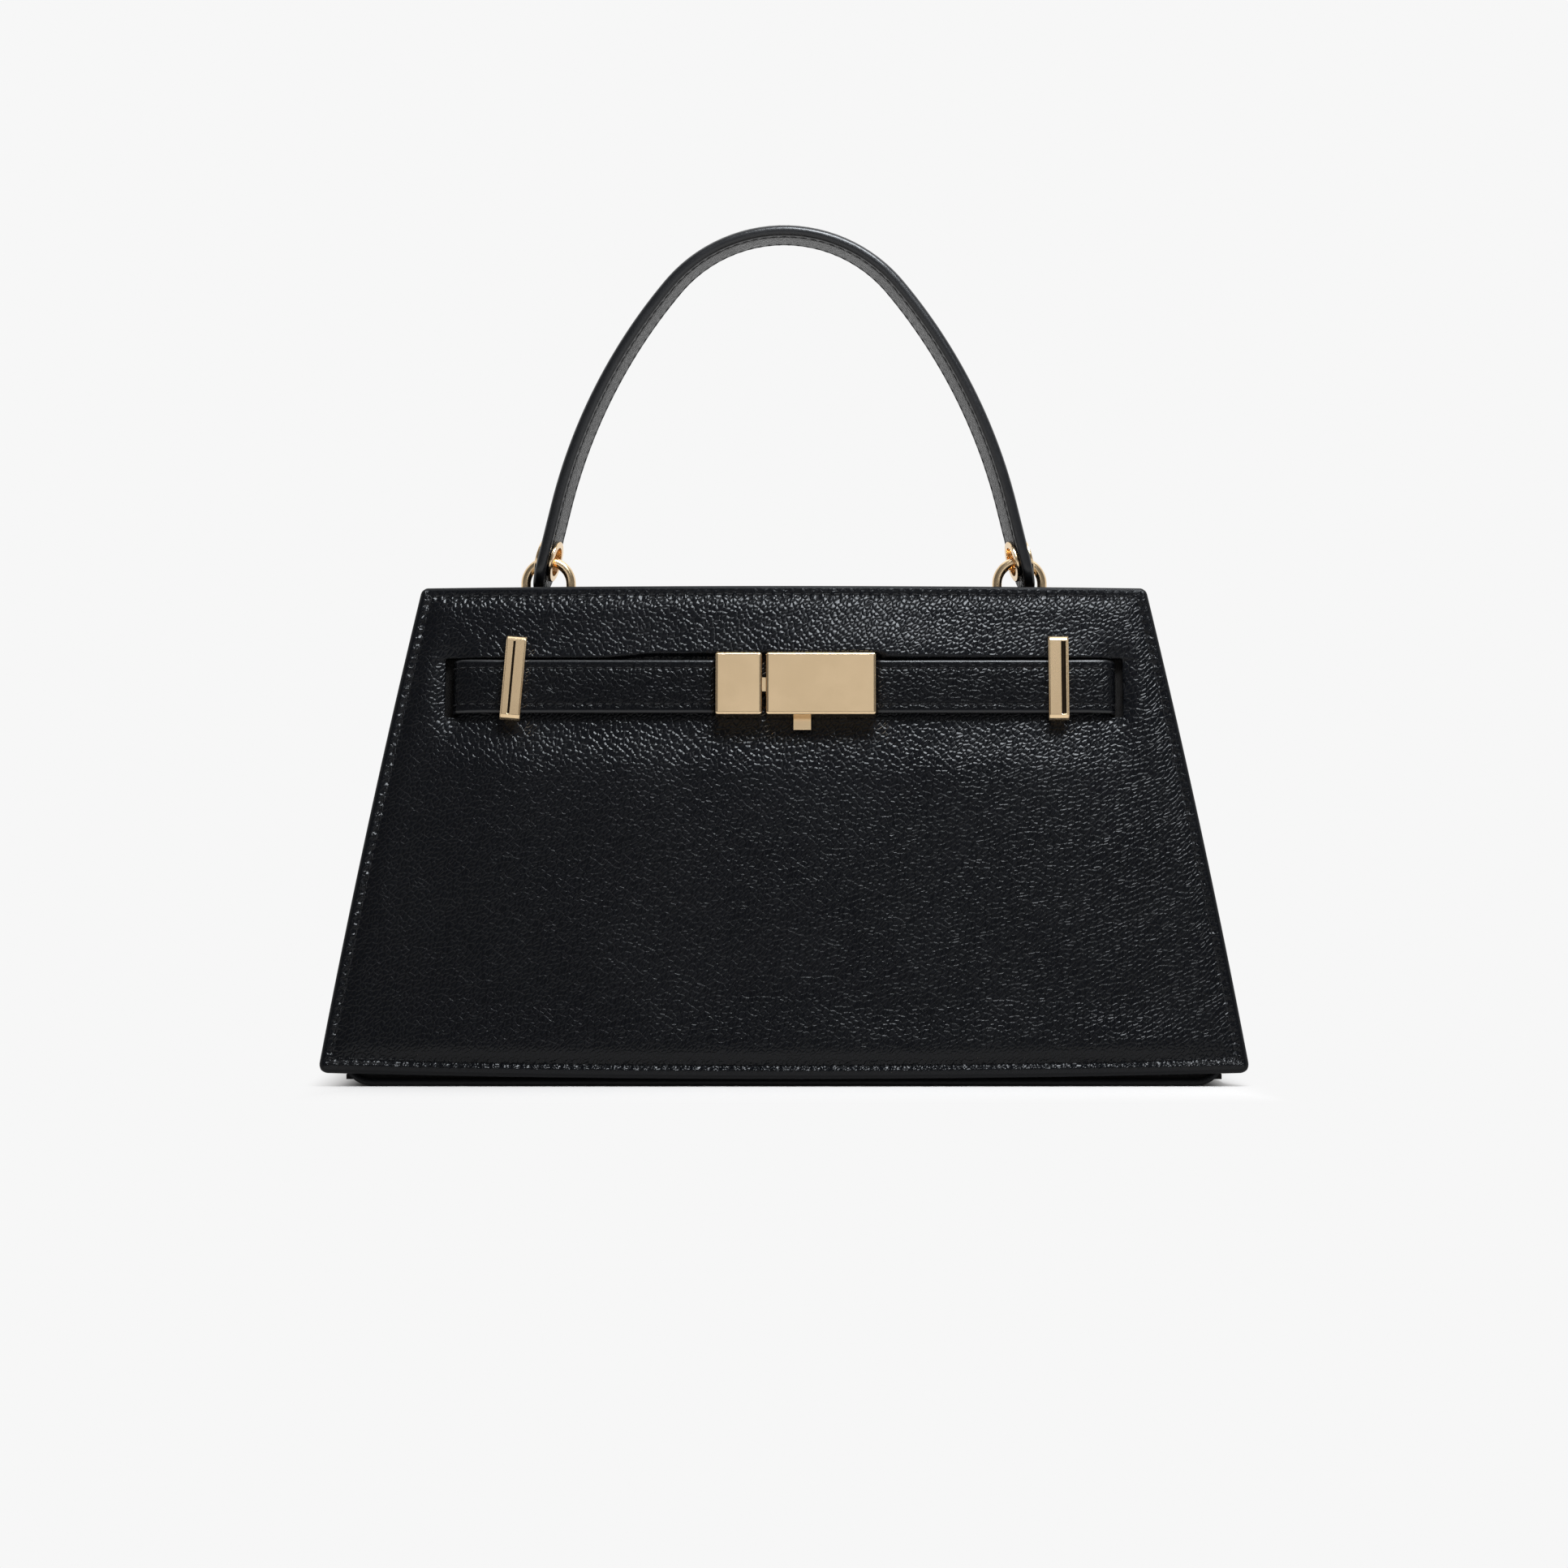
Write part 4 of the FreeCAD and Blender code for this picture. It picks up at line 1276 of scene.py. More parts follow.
    def seam_path(self) -> list[Vector]:
        """Line of the stitches round the panel.

        Returns:
            Its points, in millimetres.
        """
        line = self.outline
        raised = self.seam_low / (line.high - line.low)
        sewn = replace(line, half_low=line.half(raised) - self.seam_side,
                       half_high=line.half_high - self.seam_side, low=line.low + self.seam_low)
        return [self.frame.place(x, self.outer(x, z, self.seam_at) - self.stitch_proud, z)
                for x, z in sewn.loop(self.seam_at)]

    def dress(self, kit: Kit) -> None:
        """Make the panel, its stitches and its lining.

        Args:
            kit: What the pieces share.
        """
        draft = self.outline.draft(self.outer, self.inner, self.frame.place, self.painted, self.calm,
                                   self.seam_at, self.seam_gap)
        piece = draft.build(f"{self.word}_panel_leather", kit.pick(Look.BODY, Look.PAINT))
        if self.belted:
            cut_with(piece, [self.slot_cutter(side, kit) for side in Side])
        settle(piece, self.body, Slot.BODY, f"{self.word}_panel")
        sewn = kit.stitches.sew(f"{self.word}_panel_stitches", [self.seam_path()], closed=True)
        settle(sewn, self.body, Slot.BODY)
        inset = self.lining_inset
        line = Outline(self.base_width / 2 - inset, self.top_width / 2 - inset, inset,
                       self.frame.slope - inset, side_bow=1.0, top_bow=0.8, bottom_bow=1.8, corner=4.0,
                       corner_high=4.0, step=3.5, rim_steps=CLOTH_RIM)
        Lining(self.word, self.body, line, self.frame.place, near=3.02, sheet=0.6,
               wrinkle=(0.22, 26.0, 18.0, 5.0), calm=(2.0, 16.0)).dress(kit)


@dataclass(frozen=True)
class Gusset:
    """Side piece of the body, folded inwards along its middle, with a flange along each seam."""

    frame: WallFrame
    base_width: float = 280.0
    top_width: float = 222.0
    seam_margin: float = 4.5
    rim_short: float = 0.4
    flange: tuple[Pair, ...] = ((1.6, 0.0), (-0.4, 0.15))
    inset: float = 0.8
    turn: Pair = (0.02, 1.8)
    bellows: tuple[Pair, ...] = ((0.22, 0.72), (0.52, 0.42), (0.85, 0.14))
    fold: Pair = (1.5, 18.0)
    fold_gap: float = 0.02
    easing: int = 3
    sheet: float = 1.2
    drop: float = 3.0
    dip: float = 5.0
    dip_rise: Pair = (0.55, 1.0)
    crease: Triple = (0.35, 9.0, 22.0)
    crease_seed: float = 4.0
    crease_fade: Pair = (0.55, 0.9)
    top_calm: Pair = (0.93, 1.0)
    foot: float = 5.3
    panel_sheet: float = 2.25
    blend_depth: Pair = (17.0, 2.2)
    rows: int = 40

    def reach(self, height: float) -> Pair:
        """Half of the width between the side seams at a height, and between the two folds.

        Args:
            height: Height above the floor.

        Returns:
            The two distances from the bag's middle.
        """
        share = (height - self.frame.foot) / (self.frame.top - self.frame.foot)
        seam = between(self.base_width, self.top_width, share) / 2 - self.seam_margin
        return seam, seam - between(*self.fold, share)

    def profile(self, height: float) -> list[Pair]:
        """Middle line of the leather at a height, from the front rim to the back rim.

        Args:
            height: Height above the floor.

        Returns:
            Distance out from the bag's middle and y of each point, with the corners eased.
        """
        seam, fold = self.reach(height)
        face = self.frame.reach(height, self.panel_sheet) - self.sheet / 2
        inner, deep = seam - self.inset, seam - fold
        front = [(seam + self.seam_margin - self.rim_short, -face)]
        front += [(seam + out, -face + back) for out, back in self.flange]
        front.append((inner - self.turn[0] * deep, -face + self.turn[1]))
        front += [(inner - inward * deep, -share * face) for inward, share in self.bellows]
        front.append((fold - self.inset, -self.fold_gap))
        line = front + [(x, -y) for x, y in reversed(front)]
        for _ in range(self.easing):
            eased = [(between(x0, x1, share), between(y0, y1, share))
                     for (x0, y0), (x1, y1) in zip(line, line[1:]) for share in (0.25, 0.75)]
            line = [line[0], *eased, line[-1]]
        return line

    def dress(self, side: Side, kit: Kit) -> None:
        """Make a gusset, folded inwards, that stands between the carcass and the front wall.

        Args:
            side: Which gusset.
            kit: What the pieces share.
        """
        draft = MeshDraft()
        rows = []
        for share in spread(0.0, 1.0, self.rows):
            height = between(self.foot, self.frame.top - self.drop, share)
            line = self.profile(height)
            rim = -line[0][1]
            row = []
            for x, y in line:
                sag = self.dip * (1.0 - (y / rim) ** 2) * smooth_step(*self.dip_rise, share)
                crease = ripple(y, height, (*self.crease, side.value * self.crease_seed))
                crease *= 1.0 - smooth_step(*self.crease_fade, abs(y) / rim)
                row.append(draft.point(Vector((side.value * (x + crease), y, height - sag)),
                                       smooth_step(*self.top_calm, share)))
            rows.append(row)
        draft.grid(rows)
        piece = draft.build(f"gusset_{side.word}_leather", kit.pick(Look.BODY, Look.PAINT))
        bake(piece, "SOLIDIFY", thickness=self.sheet * MM, offset=0.0, material_offset_rim=1,
             use_even_offset=True)
        tidy_mesh(piece.data)
        start, end = (self.frame.place(0.0, depth, 0.0) for depth in self.blend_depth)
        settle(piece, Body.CARCASS, Slot.BODY, f"gusset_{side.word}", blend=(Body.FRONT, start, end))


@dataclass(frozen=True)
class Base:
    """Leather base, flat on the floor, whose ends turn up outside the gussets' feet, and its lining."""

    frame: WallFrame
    flat_half: float = 124.0
    bend: float = 9.0
    bend_angle: float = 86.0
    bend_steps: int = 8
    flat_steps: int = 60
    tip_step: float = 0.2
    tip_steps: int = 3
    rise: float = 13.0
    sheet: float = 1.9
    side_gap: float = 0.35
    panel_sheet: float = 2.0
    lip: Pair = (0.96, 0.3)
    across: tuple[float, ...] = (0.25, 0.5, 0.75, 0.9, 0.96, 0.985, 1.0)
    lining_half: Pair = (131.6, 42.9)

    def dress(self, kit: Kit) -> None:
        """Make the base and its lining.

        Args:
            kit: What the pieces share.
        """
        draft = MeshDraft()
        end = [(self.flat_half + self.bend * sine, self.bend * (1 - cosine))
               for sine, cosine in arc(self.bend_angle, self.bend_steps)]
        tip_x, tip_z = end[-1]
        end += [(tip_x + self.tip_step * i, between(tip_z, self.rise, i / self.tip_steps))
                for i in range(1, self.tip_steps + 1)]
        flat = [(x, 0.0) for x in spread(-self.flat_half, self.flat_half, self.flat_steps)[1:-1]]
        across = [-a for a in reversed(self.across)] + [0.0, *self.across]
        start, lift = self.lip
        lifts = [lift * max(0.0, abs(a) - start) / (1 - start) for a in across]
        rows = []
        for x, z in [(-x, z) for x, z in reversed(end)] + flat + end:
            half = self.frame.reach(z + self.frame.foot, self.panel_sheet) - self.side_gap
            rows.append([draft.point(Vector((x, half * a, z + up))) for a, up in zip(across, lifts)])
        draft.grid(rows)
        piece = draft.build("base_leather", kit.pick(Look.BODY, Look.PAINT))
        bake(piece, "SOLIDIFY", thickness=self.sheet * MM, offset=-1.0, material_offset_rim=1)
        tidy_mesh(piece.data)
        settle(piece, Body.CARCASS, Slot.BODY, "base_panel")
        half_x, half_y = self.lining_half
        line = Outline(half_x, half_x, -half_y, half_y, step=4.0, rim_steps=CLOTH_RIM)
        Lining("base", Body.CARCASS, line, lambda x, depth, y: Vector((x, y, depth)), near=3.52, sheet=0.58,
               wrinkle=(0.18, 24.0, 20.0, 1.0), calm=(2.0, 14.0), limit=min).dress(kit)


@dataclass(frozen=True)
class StrapStation:
    """One cross-section of a strap: its middle, its way across and its outward way."""

    centre: Vector
    across: Vector
    out: Vector
    share: float = 1.0
    thin: float = 1.0


@dataclass(frozen=True)
class Strap:
    """Flat leather strap with rounded, painted edges."""

    width: float
    sheet: float
    edge: float
    dome: float
    edge_power: float = 0.8
    steps: int = 10
    turns: int = 5
    seam_at: float = 0.0
    puckered: bool = False
    pucker_wide: float = 0.9
    groove: Pair = (0.22, 0.55)
    groove_lines: tuple[float, ...] = (-1.1, -0.55, -0.25, 0.0, 0.25, 0.55)
    line_gap: float = 0.15
    calm: Pair = (0.6, 2.0)
    stitch_proud: float = 0.04

    def surface(self, offset: float) -> float:
        """Height of a face above the strap's middle, at an offset across.

        Args:
            offset: Distance from the strap's middle line.

        Returns:
            The height.
        """
        half = self.width / 2
        crown = self.dome * (1.0 - (offset / half) ** 2)
        depth, wide = self.groove
        groove = depth * bell(abs(offset) - half + self.seam_at, wide) if self.seam_at else 0.0
        return self.sheet / 2 - self.dome + crown - groove

    def section(self) -> list[tuple[float, float, bool]]:
        """Points round the cross-section.

        Returns:
            Offset across, offset out and whether the point is on a painted edge.
        """
        flat = self.width / 2 - self.edge
        offsets = spread(-flat, flat, self.steps)
        if self.seam_at:
            extra = [self.width / 2 - self.seam_at + d for d in self.groove_lines]
            offsets = sorted([o for o in offsets if min(abs(abs(o) - e) for e in extra) > self.line_gap]
                             + extra + [-e for e in extra])
        top = [(o, self.surface(o), False) for o in offsets]
        rise = self.surface(flat)
        edge = [(flat + self.edge * sine, rise * math.copysign(abs(cosine) ** self.edge_power, cosine), True)
                for sine, cosine in arc(180.0, 2 * self.turns)[1:-1]]
        bottom = [(o, -h, p) for o, h, p in reversed(top)]
        return top + edge + bottom + [(-o, -h, p) for o, h, p in edge]

    def on_face(self, station: StrapStation, offset: float, way: int = 1) -> Vector:
        """Point on the outer face of the strap, or on the inner face with way -1."""
        rise = self.surface(offset) * station.thin + self.stitch_proud
        return station.centre + station.across * offset + station.out * way * rise

    def draft(self, stations: Sequence[StrapStation]) -> MeshDraft:
        """Closed strap through the cross-sections.

        Args:
            stations: Cross-sections in order; a share below 1 narrows the strap there.

        Returns:
            The draft, with leather as material 0 and paint as material 1.
        """
        draft = MeshDraft()
        section, half = self.section(), self.width / 2
        rows = [[draft.point(s.centre + s.across * o * s.share + s.out * h * s.thin,
                             1.0 if edge else 1.0 - smooth_step(*self.calm, half - abs(o)),
                             bell(half - abs(o) - self.seam_at, self.pucker_wide) * self.puckered)
                 for o, h, edge in section] for s in stations]
        painted = [point[2] or after[2] for point, after in zip(section, section[1:] + section[:1])]
        draft.tube(rows, lambda row, column: int(painted[column]), 1)
        return draft


@dataclass(frozen=True)
class Divider:
    """Centre wall that carries the rings, with a painted and stitched edge, and its ring tabs."""

    gusset: Gusset
    low: float = 4.35
    high: float = 132.6
    half_sheet: float = 1.7
    side_room: float = 1.85
    painted: float = 1.2
    calm: Pair = (1.5, 4.0)
    seam_at: float = 3.0
    groove: Pair = (0.22, 0.5)
    stitch_proud: float = 0.05
    ring_at: float = 73.344
    ring_bar: float = 139.05
    tab: Strap = Strap(width=7.0, sheet=1.6, edge=0.6, dome=0.1)
    tab_gap: float = 0.05
    tab_low: float = 112.6
    tab_seam: Seam = Seam(pitch=2.6, length=2.0, thick=0.5)
    tab_seam_at: float = 1.2
    tab_legs: int = 10
    tab_turns: int = 12

    def face(self, x: float, z: float, rim: float) -> float:
        """Half of the divider's thickness at a distance from its rim."""
        groove = self.groove[0] * bell(rim - self.seam_at, self.groove[1])
        return self.half_sheet - rim_round(rim, self.half_sheet) - groove

    def dress(self, kit: Kit) -> None:
        """Make the divider with its stitches, and the two ring tabs.

        Args:
            kit: What the pieces share.
        """
        low, high = (self.gusset.reach(z)[1] - self.side_room for z in (self.low, self.high))
        line = Outline(low, high, self.low, self.high, step=3.0)
        draft = line.draft(lambda x, z, rim: -self.face(x, z, rim), self.face,
                           lambda x, y, z: Vector((x, y, z)), self.painted, self.calm)
        piece = draft.build("divider_leather", kit.pick(Look.STRAP, Look.PAINT))
        settle(piece, Body.CARCASS, Slot.STRAP, "divider_front", "divider_board", "divider_back")
        proud = self.face(0.0, 0.0, self.seam_at) + self.stitch_proud
        paths = [[Vector((x, way * proud, z)) for x, z in line.loop(self.seam_at)] for way in (-1, 1)]
        settle(kit.stitches.sew("divider_stitches", paths, closed=True), Body.CARCASS, Slot.STRAP)
        for side in Side:
            self.dress_tab(side, kit)

    def dress_tab(self, side: Side, kit: Kit) -> None:
        """Make the leather loop round one ring's bar.

        Args:
            side: Which ring.
            kit: What the pieces share.
        """
        legs, bar = self.tab_legs, self.ring_bar
        middle = self.half_sheet + self.tab_gap + self.tab.sheet / 2
        line = [(-middle, z) for z in spread(self.tab_low, bar, legs)[:-1]]
        line += [(-middle * cosine, bar + middle * sine)
                 for sine, cosine in arc(180.0, self.tab_turns)]
        line += [(middle, z) for z in spread(bar, self.tab_low, legs)[1:]]
        centres = [Vector((side.value * self.ring_at, y, z)) for y, z in line]
        across = Vector((1, 0, 0))
        stations = []
        for i, centre in enumerate(centres):
            along = (centres[min(i + 1, len(centres) - 1)] - centres[max(i - 1, 0)]).normalized()
            stations.append(StrapStation(centre, across, -across.cross(along)))
        name = f"ring_tab_{side.word}"
        piece = self.tab.draft(stations).build(f"{name}_leather", kit.pick(Look.STRAP, Look.PAINT))
        settle(piece, Body.CARCASS, Slot.STRAP, name)
        inset = self.tab.width / 2 - self.tab_seam_at
        paths = [[self.tab.on_face(s, edge) for s in leg]
                 for leg in (stations[:legs], stations[-legs:]) for edge in (-inset, inset)]
        settle(kit.stitches.sew(f"{name}_stitches", paths, self.tab_seam), Body.CARCASS, Slot.STRAP)


@dataclass(frozen=True)
class Keeper:
    """Faceted gold bar over the belt, on two legs through the panel, with a dark reflection painted along
    its groove.
    """

    reach: float
    tilt: float
    groove: float
    groove_at: float
    rise: float = 2.2
    width: float = 6.2
    length: float = 26.2
    back: float = -3.0
    bar: float = 2.4
    end_bevel: float = 1.5
    end_steps: tuple[Pair, ...] = ((0.0, 0.36), (0.5, 0.74), (1.0, 0.94))
    shoulder: float = 0.80
    lip: float = 0.45
    groove_depth: float = 0.35
    groove_end: float = 0.3
    groove_faces: tuple[int, int] = (3, 4)
    leg: float = 2.0
    leg_width: float = 4.0
    leg_depth: float = 2.9
    leg_inset: float = 0.25
    leg_lap: float = 0.2
    edge_round: float = 0.12
    edge_angle: float = 12.0

    def dress(self, side: Side, belt_at: float, kit: Kit) -> None:
        """Make the bar with its legs.

        Args:
            side: Which keeper.
            belt_at: Height of the belt's middle up the wall.
            kit: What the pieces share.
        """
        draft = MeshDraft()
        turn = Matrix.Rotation(math.radians(self.tilt), 3, "Y")
        origin = Vector((side.value * self.reach, 0.0, belt_at + self.rise))

        def put(x: float, y: float, z: float) -> int:
            """Point of the keeper's own frame, placed on the wall."""
            return draft.point(kit.wall.place(*(origin + turn @ Vector((x, y, z)))))

        half, wide, lip = self.length / 2, self.width / 2, self.width / 2 - self.lip
        first, last = self.groove_at - self.groove, self.groove_at + self.groove
        section = [(-wide, 0.0, 0.0), (-wide, self.shoulder, 0.0), (-lip, 1.0, 0.0), (first, 1.0, 0.0),
                   (self.groove_at, 1.0, 1.0), (last, 1.0, 0.0), (lip, 1.0, 0.0),
                   (wide, self.shoulder, 0.0), (wide, 0.0, 0.0)]
        flat = half - self.end_bevel
        end = [(half - short, rise, 0.0) for short, rise in self.end_steps]
        end += [(flat, 1.0, 0.0), (flat - self.groove_end, 1.0, 1.0)]
        rows = [[put(x, self.back - h * self.bar * rise + line * deep * self.groove_depth, z)
                 for x, h, line in section]
                for z, rise, deep in [(-z, rise, deep) for z, rise, deep in end] + end[::-1]]
        # The groove's faces along the bar take the dark line: a painted reflection.
        draft.tube(rows, lambda row, column: int(row == len(end) - 1 and column in self.groove_faces))
        for low in (self.leg_inset - half, half - self.leg - self.leg_inset):
            draft.tube([[put(sx * self.leg_width / 2, y, low + sz * self.leg)
                         for sx, sz in ((-1, 0), (1, 0), (1, 1), (-1, 1))]
                        for y in (self.back - self.leg_lap, self.leg_depth)])
        piece = draft.build(f"keeper_{side.word}_bar", kit.pick(Look.GOLD, Look.PATINA))
        bake(piece, "BEVEL", width=self.edge_round * MM, segments=2, limit_method="ANGLE",
             angle_limit=math.radians(self.edge_angle), harden_normals=True)
        settle(piece, Body.FRONT, Slot.GOLD, f"keeper_{side.word}")


@dataclass(frozen=True)
class Belt:
    """One half of the belt on the front wall, with the gold keeper bar over it."""

    side: Side
    end: float
    keeper: Keeper
    at: float = 119.6
    middle: float = -1.5
    slot_middle: float = 100.4
    skive: float = 0.7
    bend: float = 3.2
    tail_depth: float = 2.9
    skive_span: Pair = (-6.0, 1.0)
    slack: float = 0.25
    slack_rise: Pair = (84.0, 92.0)
    slack_fall: Pair = (96.0, 99.0)
    strap: Strap = Strap(width=16.7, sheet=2.4, edge=0.9, dome=0.15, steps=12, seam_at=2.7, puckered=True)
    seam: Seam = Seam(pitch=2.9, length=2.25, thick=0.6)
    run_steps: int = 40
    bend_steps: int = 8
    tail_steps: int = 3
    sewn_stations: int = 46
    blend_from: float = -98.0
    blend_to: float = -24.0

    def stations(self, wall: WallFrame) -> list[StrapStation]:
        """Cross-sections from the clasp out to the slot and through it.

        Args:
            wall: Place of the front wall.

        Returns:
            The cross-sections in order.
        """
        stop, deep = self.slot_middle - self.bend, self.middle + self.bend
        line = [(x, self.middle) for x in spread(self.end, stop, self.run_steps)[:-1]]
        line += [(stop + self.bend * sine, self.middle + self.bend * (1 - cosine))
                 for sine, cosine in arc(90.0, self.bend_steps)]
        line += [(self.slot_middle, y) for y in spread(deep, self.tail_depth, self.tail_steps)[1:]]
        found = []
        for i, (x, y) in enumerate(line):
            before, after = line[max(i - 1, 0)], line[min(i + 1, len(line) - 1)]
            run = Vector((after[0] - before[0], after[1] - before[1])).normalized()
            out = wall.place(self.side.value * run.y, -run.x, 0) - wall.place(0, 0, 0)
            lift = self.slack * smooth_step(*self.slack_rise, x) * (1.0 - smooth_step(*self.slack_fall, x))
            thin = between(1.0, self.skive, smooth_step(*self.skive_span, x - stop))
            found.append(StrapStation(wall.place(self.side.value * x, y - lift, self.at), wall.up,
                                      out.normalized(), 1.0, thin))
        return found

    def dress(self, kit: Kit) -> None:
        """Make this half, its stitches and its keeper.

        Args:
            kit: What the pieces share.
        """
        name = f"belt_{self.side.word}"
        stations = self.stations(kit.wall)
        piece = self.strap.draft(stations).build(f"{name}_leather", kit.pick(Look.STRAP, Look.STRAP_PAINT))
        edge = self.strap.width / 2 - self.strap.seam_at
        paths = [[self.strap.on_face(s, way * edge) for s in stations[:self.sewn_stations]]
                 for way in (-1, 1)]
        sewn = kit.stitches.sew(f"{name}_stitches", paths, self.seam)
        blend = None
        if self.side is Side.LEFT:
            blend = (Body.CATCH, kit.wall.place(self.blend_from, 0, self.at),
                     kit.wall.place(self.blend_to, 0, self.at))
        settle(piece, Body.FRONT, Slot.STRAP, name, blend=blend)
        settle(sewn, Body.FRONT, Slot.STRAP, blend=blend)
        self.keeper.dress(self.side, self.at, kit)


@dataclass(frozen=True)
class Handle:
    """Arched strap handle: two leathers over a core, painted edges, stitched, with eyelet holes."""

    top: float = 263.0
    strap: Strap = Strap(width=16.5, sheet=3.8, edge=1.8, dome=0.15, steps=12, turns=7, seam_at=2.4)
    crown_radius: float = 47.0
    crown_angle: float = 50.0
    flank_radius: float = 172.0
    flank_angle: float = 76.0
    straight: float = 25.0
    tail: float = 2.5
    flare: float = 3.0
    front_lift: float = 1.3
    hole: float = 5.15
    cutter_half: float = 6.0
    seam: Seam = Seam(pitch=3.0, length=2.3, thick=0.62)
    crown_steps: int = 24
    flank_steps: int = 26
    end_steps: int = 12
    end_turn: float = 84.0
    hole_sides: int = 48
    unsewn: int = 3

    def rail(self, turn: float, run: float, flare: float, depth: float) -> Vector:
        """Point of the strap's middle layer on the right side.

        Args:
            turn: Angle from the crown in degrees, up to the flank's last angle.
            run: Length along the straight end, past the last angle.
            flare: How far the arch is widened there.
            depth: Place along Y.

        Returns:
            The point, in millimetres.
        """
        knee, angle, last = (math.radians(a) for a in (self.crown_angle, turn, self.flank_angle))
        radius = crown = self.crown_radius + flare / math.sin(knee)
        x, z = 0.0, self.top - crown + self.front_lift * max(0.0, flare) / (self.flare / 2)
        if turn > self.crown_angle:
            radius = self.flank_radius
            x += (crown - radius) * math.sin(knee)
            z += (crown - radius) * math.cos(knee)
        radius -= self.strap.sheet / 2
        spot = Vector((x + radius * math.sin(angle), depth, z + radius * math.cos(angle)))
        return spot + Vector((math.cos(last), 0, -math.sin(last))) * run

    def spans(self) -> list[Triple]:
        """Turn, run and width share of each cross-section on the right side, from the crown.

        Returns:
            The three values of each cross-section.
        """
        half, last = self.strap.width / 2, self.flank_angle
        end = self.straight - half + self.tail
        turns = spread(0.0, self.crown_angle, self.crown_steps)
        turns += spread(self.crown_angle, last, self.flank_steps)[1:]
        found = [(turn, 0.0, 1.0) for turn in turns]
        found += [(last, run, 1.0) for run in spread(0.0, end, self.end_steps)[1:]]
        return found + [(last, end + half * sine, cosine)
                        for sine, cosine in arc(self.end_turn, self.end_steps)[1:]]

    def stations(self) -> list[StrapStation]:
        """Cross-sections from the left end over the crown to the right end.

        Returns:
            The cross-sections in order.
        """
        half, flare = self.strap.width / 2, self.flare / 2
        right = []
        for turn, run, share in self.spans():
            front, back = self.rail(turn, run, flare, -half), self.rail(turn, run, -flare, half)
            sine, cosine = math.sin(math.radians(turn)), math.cos(math.radians(turn))
            across = (back - front).normalized()
            out = across.cross(Vector((cosine, 0, -sine)))
            if out.dot(Vector((sine, 0, cosine))) < 0:
                out = -out
            right.append(StrapStation((front + back) / 2, across, out.normalized(), share))
        left = [StrapStation(flipped(s.centre), flipped(s.across), flipped(s.out), s.share)
                for s in reversed(right[1:])]
        return left + right

    def hole_cutter(self, side: Side, kit: Kit) -> Object:
        """Closed shape of an eyelet hole.

        Args:
            side: Which end of the strap.
            kit: What the pieces share.

        Returns:
            The shape, to be cut out of the strap.
        """
        draft = MeshDraft()
        centre = self.rail(self.flank_angle, self.straight - self.strap.width / 2, 0.0, 0.0)
        last = math.radians(self.flank_angle)
        along = Vector((math.cos(last), 0, -math.sin(last)))
        axis = Vector((-self.flare, self.strap.width, 0)).cross(along).normalized()
        if side is Side.LEFT:
            centre, axis = flipped(centre), flipped(axis)
        first = axis.orthogonal().normalized()
        ring = [first * cosine + axis.cross(first) * sine
                for sine, cosine in arc(360.0, self.hole_sides)[:-1]]
        draft.tube([[draft.point(centre + axis * end + spoke * self.hole, 1.0) for spoke in ring]
                    for end in (-self.cutter_half, self.cutter_half)])
        return draft.build("hole_cutter", kit.pick(Look.PAINT))

    def dress(self, kit: Kit) -> None:
        """Make the strap and its stitches.

        Args:
            kit: What the pieces share.
        """
        stations = self.stations()
        finishes = kit.pick(Look.STRAP, Look.STRAP_PAINT)
        piece = self.strap.draft(stations).build("handle_strap_leather", finishes)
        cut_with(piece, [self.hole_cutter(side, kit) for side in Side])
        settle(piece, Body.HANDLE, Slot.STRAP, "handle_outer", "handle_core", "handle_inner")
        edge = self.strap.width / 2 - self.strap.seam_at
        full = [s for s in stations if s.share == 1.0][self.unsewn:-self.unsewn]
        paths = [[self.strap.on_face(s, way * edge, face) for s in full]
                 for way in (-1, 1) for face in (-1, 1)]
        settle(kit.stitches.sew("handle_stitches", paths, self.seam), Body.HANDLE, Slot.STRAP)


class Hardware:
    """Metal and hidden parts that keep their CAD shape."""

    flattened: float = 0.25

    def __init__(self, frame: dict[str, Any], kit: Kit) -> None:
        """Keep the frame's nodes with their materials, and the front wall.

        Args:
            frame: The loaded frame.
            kit: What the pieces share.
        """
        self.wall = kit.wall
        self.nodes = frame["nodes"]
        self.slots = {row["node"]: row["material_slot"] for row in frame["record"]["subparts"]}
        self.materials = {slot.value: kit.looks[Look[slot.name]] for slot in Slot}

    def coat(self, piece: Object, slot: str) -> None:
        """Give a piece its slot's material alone."""
        piece.data.materials.clear()
        piece.data.materials.append(self.materials[slot])

    def spring(self) -> None:
        """Give the latch's leaf spring a steel mesh of its own that rides on the front wall."""
        leaf = link("latch_leaf", self.nodes["latch_spring"].data.copy())
        tidy_mesh(leaf.data)
        self.coat(leaf, Slot.STEEL.value)
        settle(leaf, Body.FRONT, Slot.STEEL, "latch_spring")
        up = self.wall.up
        top = max((vertex.co for vertex in leaf.data.vertices), key=up.dot)
        top.copy()
        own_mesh(leaf)

    def dress(self) -> None:
        """Give every CAD node its material, with a leaf of its own for the spring."""
        self.spring()
        for name, node in self.nodes.items():
            self.coat(node, self.slots[name])
            if not node.hide_render:
                log.info("%s keeps its CAD shape in %s", name, self.slots[name])


